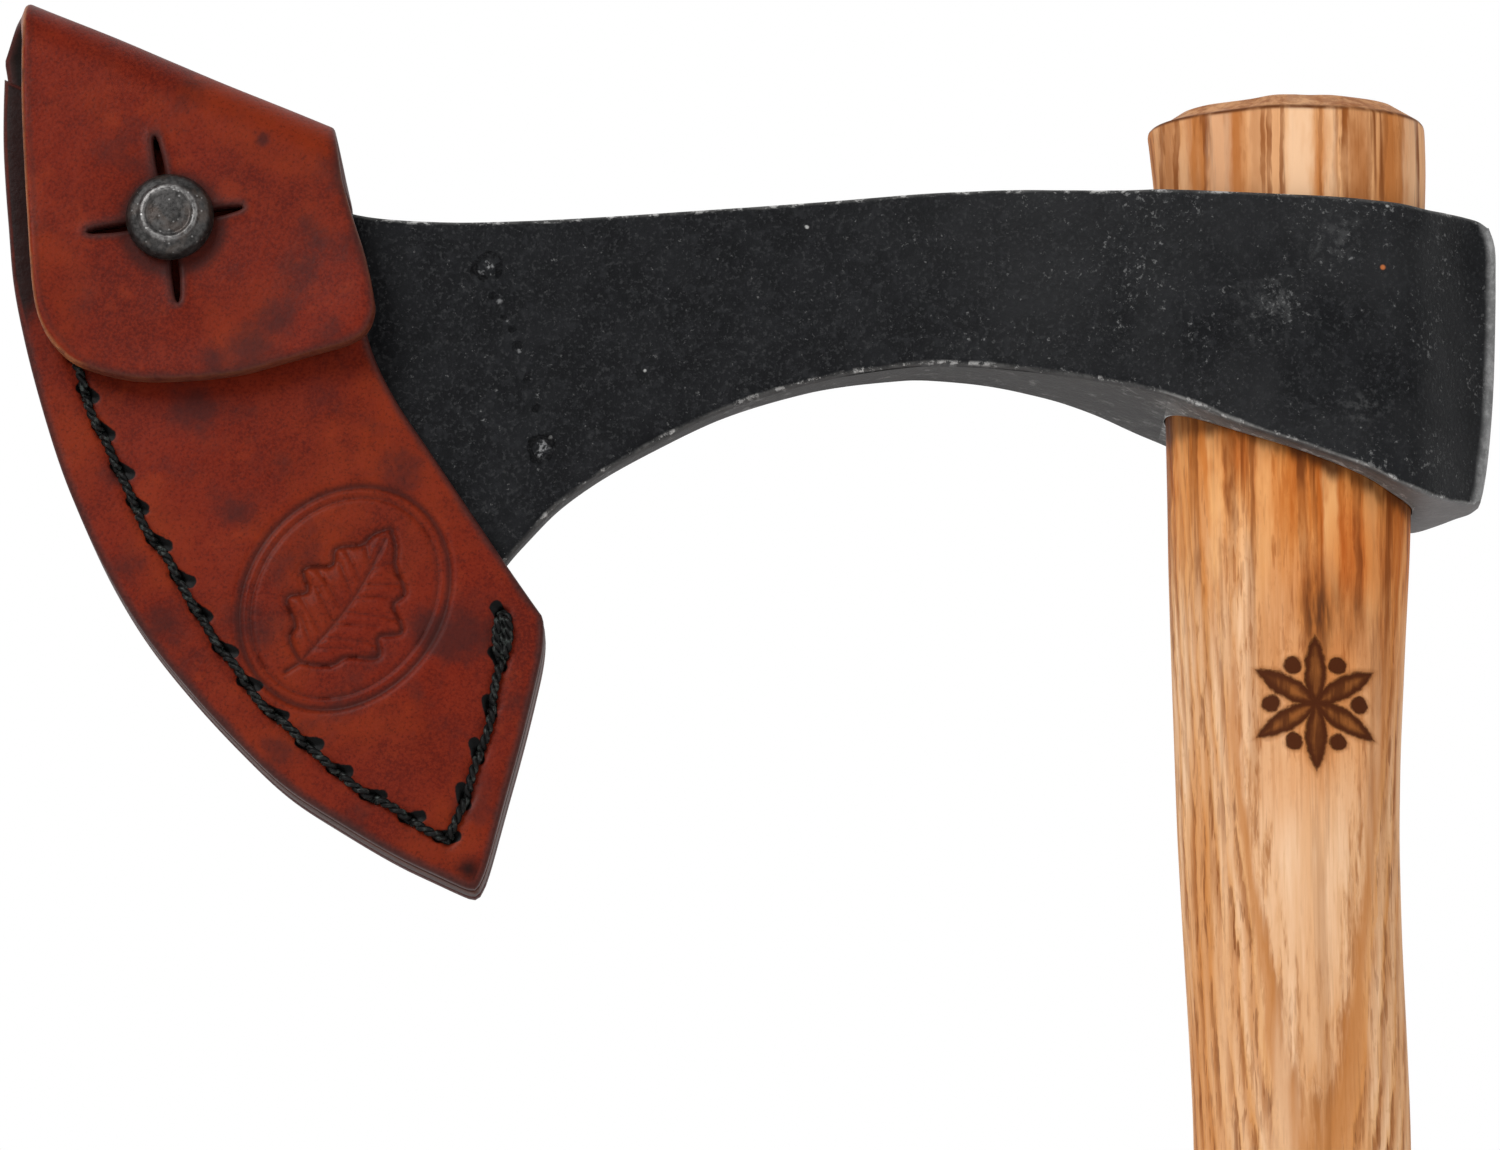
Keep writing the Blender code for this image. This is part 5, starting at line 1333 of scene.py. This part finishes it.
def build_wrap():
    radius = 0.00085
    outline = strip_outline()
    hole = star_hole()
    centre = np.array([to_strip(stud_at)[0], FOLD_LENGTH - to_strip(stud_at)[1]])
    seam_strip = np.array([to_strip(p) for p in SEAM])
    holes_strip = np.array([to_strip(p) for p in HOLES])

    def seam_band(p):
        return (distance_to(p, seam_strip) < 0.0022) & (p[:, 1] < 0)

    def stud_band(p):
        return np.linalg.norm(p - centre, axis=1) < 0.0150

    def bend_band(p):
        return (p[:, 1] > -0.003) & (p[:, 1] < FOLD_LENGTH + 0.003)

    slits_strip = [np.array([to_strip(p) for p in end]) for end in SLITS]

    def ink_strip(p):
        best = np.full(len(p), 1.0)
        for a, b in zip(*slits_strip):
            ab = b - a
            t = np.clip(((p - a) @ ab) / (ab @ ab), 0, 1)
            best = np.minimum(best, np.linalg.norm(p - a - t[:, None] * ab, axis=1))
        return np.where(p[:, 1] < 0, np.clip(1 - best / 0.00175, 0, 1), 0.0)

    net = triangulate(outline, [hole], 0.0016, radius, [
        (seam_band, 0.00062), (stud_band, 0.00055), (bend_band, 0.00095), (lambda p: ink_strip(p) > 0.02, 0.00034),
    ])
    p, rim = net[0], net[3]
    a, q = p[:, 0], p[:, 1]
    drop = rounded(rim, radius)
    spots = np.stack([a, q, np.zeros(len(p))], axis=1)
    uneven = wobble(spots, 60.0, 6.6) * 0.00018
    on_flap = q > FOLD_LENGTH
    down = q - FOLD_LENGTH
    # The flap's free part relaxes: it swells below the bend, hugs the stud and lifts at its lower edge.
    to_stud = np.linalg.norm(p - centre, axis=1)
    swell = np.where(on_flap, 0.00055 * ease(down / 0.012), 0.0)
    swell = swell - np.where(on_flap, 0.00070 * np.exp(-(to_stud / 0.0085) ** 2), 0.0)
    lift = np.where(on_flap, 0.00045 * ease((0.006 - rim) / 0.006) * ease((down - 0.02) / 0.015), 0.0)
    corner = np.array([to_strip(at(372, 318, -FLAP_OUT))[0], FOLD_LENGTH - to_strip(at(372, 318, -FLAP_OUT))[1]])
    curl = np.where(on_flap, 0.0011 * np.exp(-(np.linalg.norm(p - corner, axis=1) / 0.010) ** 2), 0.0)
    lips = np.where(on_flap, 0.00022 * np.exp(-(np.where(to_stud < 0.014, rim, 1.0) / 0.0010) ** 2), 0.0)
    hole_gap = np.min(np.linalg.norm(p[:, None, :] - holes_strip[None], axis=2), axis=1)
    seam_gap = distance_to(p, seam_strip)
    stitched = ~on_flap & (q < 0)
    dip = np.where(stitched, 0.00024 * np.exp(-(seam_gap / 0.0011) ** 2) + 0.00095 * np.exp(-(hole_gap / 0.00070) ** 2), 0.0)
    pressed = np.where(stitched, np.exp(-(hole_gap / 0.0010) ** 2), 0.0)
    pressed = np.maximum(pressed, np.where(on_flap & (to_stud < 0.0145), 0.40 * np.exp(-(rim / 0.00050) ** 2), 0.0))
    # Painted shadow: a dark ring round the stud, set off towards the lower right where its shadow falls, carried in the
    # pressed mark.
    beside = np.linalg.norm(p - centre - np.array([0.0006, 0.0007]), axis=1)
    pressed = np.maximum(pressed, np.where(on_flap, 0.95 * np.exp(-((beside - 0.0066) / 0.0018) ** 2), 0.0))

    def place(offset):
        """offset: distance outwards from the strip's middle surface."""
        turn = np.clip(q / FOLD_LENGTH, 0, 1)
        angle = math.pi * turn
        radius_here = FOLD_R_MID + offset
        up = np.where(q < 0, q, np.where(on_flap, -down, radius_here * np.sin(angle)))
        y = np.where(q < 0, FOLD_Y + radius_here, np.where(on_flap, FOLD_Y - radius_here, FOLD_Y + radius_here * np.cos(angle)))
        xz = from_strip(a, up)
        return np.stack([xz[:, 0], y, xz[:, 1]], axis=1)

    half = LEATHER / 2
    back_swell = np.where(q < 0, bulge(from_strip(a, q), rim) * 0.8, 0.0)
    outer = place(half - drop + uneven + swell + lift + curl + lips - dip + back_swell)
    inner = place(-half + drop + np.maximum(swell, 0) * 0.6 + lift + curl + np.where(on_flap, uneven, 0))
    flat = np.stack([a, q, np.zeros(len(p))], axis=1)
    spots = []
    for u, v, size, power in FLAP_SOIL:
        along, up = to_strip(at(u, v, -FLAP_OUT))
        spots.append(((along, FOLD_LENGTH - up), size * UNIT, power))
    for u, v, size, power in FRONT_SOIL[::2]:
        spots.append((to_strip(at(u + 30, v - 60, PANEL_OUT)), size * UNIT, power))
    flap_edge = ease((q - FOLD_LENGTH * 0.45) / 0.004) * ease((to_stud - 0.0145) / 0.001)
    flap_edge = flap_edge * (0.20 + 0.80 * ease((at(95, 330, -FLAP_OUT).x - outer[:, 0]) / 0.003))
    return sheet_object("wrap_leather", net, outer, inner, flat, pressed=pressed, ink=ink_strip(p), flap=flap_edge, soil=soil_at(p, spots))


wrap = build_wrap()
wrap.data.materials.append(LEATHER_MAT)
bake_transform(wrap)
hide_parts("sheath_back_panel", "flap_fold", "sheath_flap")

# ---------------------------------------------------------------- welt
def offset_line(line, distance):
    tangent = np.gradient(line, axis=0)
    tangent /= np.maximum(np.linalg.norm(tangent, axis=1, keepdims=True), 1e-12)
    return line + np.stack([-tangent[:, 1], tangent[:, 0]], axis=1) * distance


def build_welt():
    inner_left = offset_line(array(smooth([at(u, v, -PANEL_OUT) for u, v in SEAM_LEFT[:-1]], 6)), 0.0016)
    inner_right = offset_line(array(smooth([at(u, v, -PANEL_OUT) for u, v in SEAM_RIGHT[1:-1]], 6)), 0.0016)
    end = np.array(tuple(at(545, 636, PANEL_OUT)))
    stop = int(np.argmin(np.linalg.norm(PANEL - end, axis=1)))
    loop = np.vstack([
        PANEL[:stop + 1], [tuple(at(524, 604, -PANEL_OUT)), tuple(at(497, 604, -PANEL_OUT))], inner_right[::-1],
        [tuple(at(441, 825, -PANEL_OUT))], inner_left[::-1], [tuple(at(58, 84, -PANEL_OUT))],
    ])
    radius = 0.0005
    net = triangulate(loop, [], 0.0018, radius)
    p, rim = net[0], net[3]
    drop = rounded(rim, radius)
    outer = np.stack([p[:, 0], -(0.00245 - drop), p[:, 1]], axis=1)
    inner = np.stack([p[:, 0], 0.00245 - drop, p[:, 1]], axis=1)
    return sheet_object("welt_leather", net, outer, inner)


welt = build_welt()
welt.data.materials.append(EDGE_MAT)
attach(welt, "sheath")
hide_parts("welt")


# ---------------------------------------------------------------- thread
def strand_tube(path, radius, sides=8):
    tangent = np.gradient(path, axis=0)
    tangent /= np.maximum(np.linalg.norm(tangent, axis=1, keepdims=True), 1e-12)
    side = np.cross(tangent, [0.0, 1.0, 0.0])
    short = np.linalg.norm(side, axis=1) < 0.15
    for i in np.where(short)[0]:
        side[i] = side[i - 1] if i else (1.0, 0.0, 0.0)
    side -= (side * tangent).sum(1)[:, None] * tangent
    side /= np.linalg.norm(side, axis=1, keepdims=True)
    up = np.cross(side, tangent)
    w = 2 * np.pi * np.arange(sides) / sides
    ring = side[:, None, :] * np.cos(w)[None, :, None] + up[:, None, :] * np.sin(w)[None, :, None]
    radius = np.broadcast_to(np.asarray(radius, float), (len(path),))
    verts = (path[:, None, :] + ring * radius[:, None, None]).reshape(-1, 3)
    faces = []
    for i in range(len(path) - 1):
        for k in range(sides):
            a, b = i * sides + k, i * sides + (k + 1) % sides
            faces.append((a, b, b + sides, a + sides))
    faces.append(tuple(range(sides))[::-1])
    faces.append(tuple(range(len(verts) - sides, len(verts))))
    return verts, faces, side, up


def build_thread(name, face, sign, extra):
    """Two plies twisted together, over the leather from hole to hole and down into each hole."""
    stops = list(HOLES)
    knots = []
    for i, p in enumerate(stops):
        knots.append((p[0], face - sign * 0.00125, p[1]))
        if i + 1 < len(stops):
            q = stops[i + 1]
            d = (q - p) / np.linalg.norm(q - p)
            n = np.array([-d[1], d[0]])
            sway = 0.00030 * math.sin(2.4 * i)
            for f, high in ((0.10, -0.00045), (0.20, 0.00020), (0.34, 0.00036), (0.5, 0.00042), (0.66, 0.00036), (0.80, 0.00020), (0.90, -0.00045)):
                m = p + (q - p) * f + n * sway * math.sin(math.pi * f)
                knots.append((m[0], face + sign * high, m[1]))
    if extra:
        for p, q, beside in ((stops[-1], stops[-2], 0.00095), (stops[-2], stops[-1], 0.00095)):
            d = (q - p) / np.linalg.norm(q - p)
            n = np.array([-d[1], d[0]])
            for f, high in ((0.08, -0.0003), (0.20, 0.00045), (0.5, 0.00060), (0.80, 0.00045), (0.92, -0.0003)):
                m = p + (q - p) * f + n * beside * math.sin(math.pi * min(1, f * 0.8 + 0.12))
                knots.append((m[0], face + sign * high, m[1]))
            knots.append((q[0], face - sign * 0.0011, q[1]))
    path = array(smooth([Vector(k) for k in knots], 7))
    path = resample(path, pitch=0.00022)
    run = lengths(path)
    _, _, side, up = strand_tube(path, 0.0001)
    verts, faces = [], []
    for ply in (0, 1):
        w = run / 0.0030 * 2 * np.pi + ply * np.pi
        line = path + (side * np.cos(w)[:, None] + up * np.sin(w)[:, None]) * 0.00031
        one, some, _, _ = strand_tube(line, 0.00040, 8)
        faces += [tuple(k + len(verts) * len(one) for k in f) for f in some] if ply == 0 else [tuple(k + len(one) for k in f) for f in some]
        verts.append(one)
    obj = mesh_object(name, np.vstack(verts), faces, 60.0)
    return obj


for name, face, sign, node, extra in (
    ("waxed_thread_front", -PANEL_OUT, -1, "seam_thread_front", True),
    ("waxed_thread_back", PANEL_OUT, 1, "seam_thread_back", False),
):
    run = build_thread(name, face, sign, extra)
    run.data.materials.append(THREAD)
    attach(run, "sheath")
    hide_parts(node)


# ---------------------------------------------------------------- stud
def turned(name, profile, sides, centre, round_steps=6):
    """profile: (radius, y, softness) from the axis round to the axis; corners are rounded by softness."""
    points = []
    last = len(profile) - 1
    for i, (r, y, soft) in enumerate(profile):
        if i in (0, last) or soft <= 0:
            points.append((r, y))
            continue
        here = np.array([r, y])
        before = np.array(profile[i - 1][:2]) - here
        after = np.array(profile[i + 1][:2]) - here
        a = here + before / np.linalg.norm(before) * min(soft, np.linalg.norm(before) * 0.49)
        b = here + after / np.linalg.norm(after) * min(soft, np.linalg.norm(after) * 0.49)
        for k in range(round_steps + 1):
            t = k / round_steps
            points.append(tuple((1 - t) ** 2 * a + 2 * t * (1 - t) * here + t * t * b))
    verts, rings, faces = [], [], []
    for r, y in points:
        if r < 1e-9:
            rings.append([len(verts)])
            verts.append((centre.x, y, centre.y))
        else:
            rings.append(list(range(len(verts), len(verts) + sides)))
            for k in range(sides):
                w = 2 * math.pi * k / sides
                verts.append((centre.x + r * math.cos(w), y, centre.y + r * math.sin(w)))
    for a, b in zip(rings, rings[1:]):
        for k in range(sides):
            quad = [a[k % len(a)], a[(k + 1) % len(a)], b[(k + 1) % len(b)], b[k % len(b)]]
            quad = list(dict.fromkeys(quad))
            if len(quad) > 2:
                faces.append(tuple(quad))
    obj = mesh_object(name, verts, faces, 35.0)
    face_outwards(obj)
    return obj, np.array(verts)


stud, stud_verts = turned("button_stud", [
    (0.0, -0.0082, 0), (0.0018, -0.0082, 0), (0.0018, -0.0061, 0), (0.0046, -0.0061, 0.0002), (0.0046, -0.0069, 0.0003),
    (0.0038, -0.0075, 0.0003), (0.0038, -0.0104, 0.0004), (0.0054, -0.0108, 0.0004), (0.0064, -0.0115, 0.0004),
    (0.0064, -0.0123, 0.0006), (0.0057, -0.0137, 0.0007), (0.0045, -0.0142, 0.0003), (0.00415, -0.01465, 0.00025),
    (0.00355, -0.01475, 0.00025), (0.00315, -0.01425, 0.0003), (0.0012, -0.01440, 0.0004), (0.0, -0.01442, 0),
], 96, stud_at)
radial = np.hypot(stud_verts[:, 0] - stud_at.x, stud_verts[:, 2] - stud_at.y)
# Partly painted light: the stud's crown and a ring on its top are painted brighter as a highlight, besides their wear.
lit_and_worn_crown = ease((-stud_verts[:, 1] - 0.0128) / 0.0012)
set_float(stud, "worn", 0.10 + 0.35 * lit_and_worn_crown + 0.9 * np.exp(-((radial - 0.0038) / 0.00045) ** 2) * lit_and_worn_crown)
stud.data.materials.append(STUD)
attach(stud, "sheath")
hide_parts("stud_button")

screw, screw_verts = turned("stud_screw_fine", [
    (0.0, -0.0029, 0), (0.0037, -0.0029, 0.0003), (0.0041, -0.0032, 0.0002), (0.0041, -0.0042, 0.0001), (0.0015, -0.0042, 0.0001),
    (0.0015, -0.0077, 0.0002), (0.0, -0.0077, 0),
], 64, stud_at)
set_float(screw, "worn", np.full(len(screw_verts), 0.6))
screw.data.materials.append(STUD)
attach(screw, "sheath")
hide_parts("stud_screw")

# ---------------------------------------------------------------- floor, light, camera
floor_mesh = bpy.data.meshes.new("floor")
floor_mesh.from_pydata([(-6, -6, -0.0005), (6, -6, -0.0005), (6, 6, -0.0005), (-6, 6, -0.0005)], [], [(0, 1, 2, 3)])
floor = bpy.data.objects.new("floor", floor_mesh)
bpy.context.scene.collection.objects.link(floor)
paper = Nodes("white_paper")
fibre = paper.noise(paper.coords(), 90.0, 3.0)
sheet_of_paper = paper.finish(paper.mix(fibre, (0.86, 0.86, 0.86), (0.92, 0.92, 0.92)), 0.7, 0.0, None, 0.2)
# Lifted towards white for the camera only, so that the far floor meets the white backdrop.
lift = paper.node("ShaderNodeEmission")
lift.inputs["Color"].default_value = (1.0, 1.0, 1.0, 1.0)
lift.inputs["Strength"].default_value = 0.30
seen_by = paper.node("ShaderNodeLightPath")
blank = paper.node("ShaderNodeAddShader")
choice = paper.node("ShaderNodeMixShader")
output = [one for one in sheet_of_paper.node_tree.nodes if one.type == "OUTPUT_MATERIAL"][0]
plain = output.inputs["Surface"].links[0].from_socket
links = sheet_of_paper.node_tree.links
links.new(plain, blank.inputs[0])
links.new(lift.outputs[0], blank.inputs[1])
links.new(seen_by.outputs["Is Camera Ray"], choice.inputs[0])
links.new(plain, choice.inputs[1])
links.new(blank.outputs[0], choice.inputs[2])
links.new(choice.outputs[0], output.inputs["Surface"])
floor_mesh.materials.append(sheet_of_paper)

world = bpy.data.worlds.new("studio")
bpy.context.scene.world = world
world.use_nodes = True
tree = world.node_tree
back = tree.nodes["Background"]
seen = tree.nodes.new("ShaderNodeBackground")
seen.inputs["Color"].default_value = (1, 1, 1, 1)
seen.inputs["Strength"].default_value = 1.0
where = tree.nodes.new("ShaderNodeTexCoord")
apart = tree.nodes.new("ShaderNodeSeparateXYZ")
tree.links.new(where.outputs["Generated"], apart.inputs[0])
span = tree.nodes.new("ShaderNodeMapRange")
span.interpolation_type = "SMOOTHSTEP"
span.inputs["From Min"].default_value = -0.25
span.inputs["From Max"].default_value = 0.45
span.inputs["To Min"].default_value = 0.20
span.inputs["To Max"].default_value = 1.0
tree.links.new(apart.outputs[1], span.inputs["Value"])
back.inputs["Color"].default_value = (1, 1, 1, 1)
tree.links.new(span.outputs["Result"], back.inputs["Strength"])
path = tree.nodes.new("ShaderNodeLightPath")
either = tree.nodes.new("ShaderNodeMixShader")
tree.links.new(path.outputs["Is Camera Ray"], either.inputs[0])
tree.links.new(back.outputs[0], either.inputs[1])
tree.links.new(seen.outputs[0], either.inputs[2])
tree.links.new(either.outputs[0], tree.nodes["World Output"].inputs[0])

TARGET = Vector(((SHEET_U - EYE_U) * UNIT, 0.0, AIM_Z))


def area_light(name, offset, size, power, colour=(1, 1, 1)):
    data = bpy.data.lights.new(name, "AREA")
    data.shape = "SQUARE"
    data.size = size
    data.energy = power
    data.color = colour
    lamp = bpy.data.objects.new(name, data)
    lamp.location = TARGET + Vector(offset)
    lamp.rotation_euler = (-Vector(offset)).to_track_quat("-Z", "Y").to_euler()
    bpy.context.scene.collection.objects.link(lamp)
    return lamp


area_light("key", (-0.75, -1.10, 0.80), 0.85, 17.0)
area_light("fill", (0.9, -0.9, 0.25), 0.9, 4.5)

view_dir = Vector((0, math.cos(TILT), math.sin(TILT)))
camera_data = bpy.data.cameras.new("camera")
camera_data.sensor_width = 36.0
camera_data.lens = 36.0 * REACH / (1500 * UNIT)
camera_data.clip_start = 0.05
camera_data.dof.use_dof = False
camera = bpy.data.objects.new("camera", camera_data)
camera.location = TARGET - view_dir * REACH
camera.rotation_euler = (math.pi / 2 + TILT, 0.0, 0.0)
bpy.context.scene.collection.objects.link(camera)
bpy.context.scene.camera = camera
bpy.context.scene.view_settings.view_transform = "Standard"
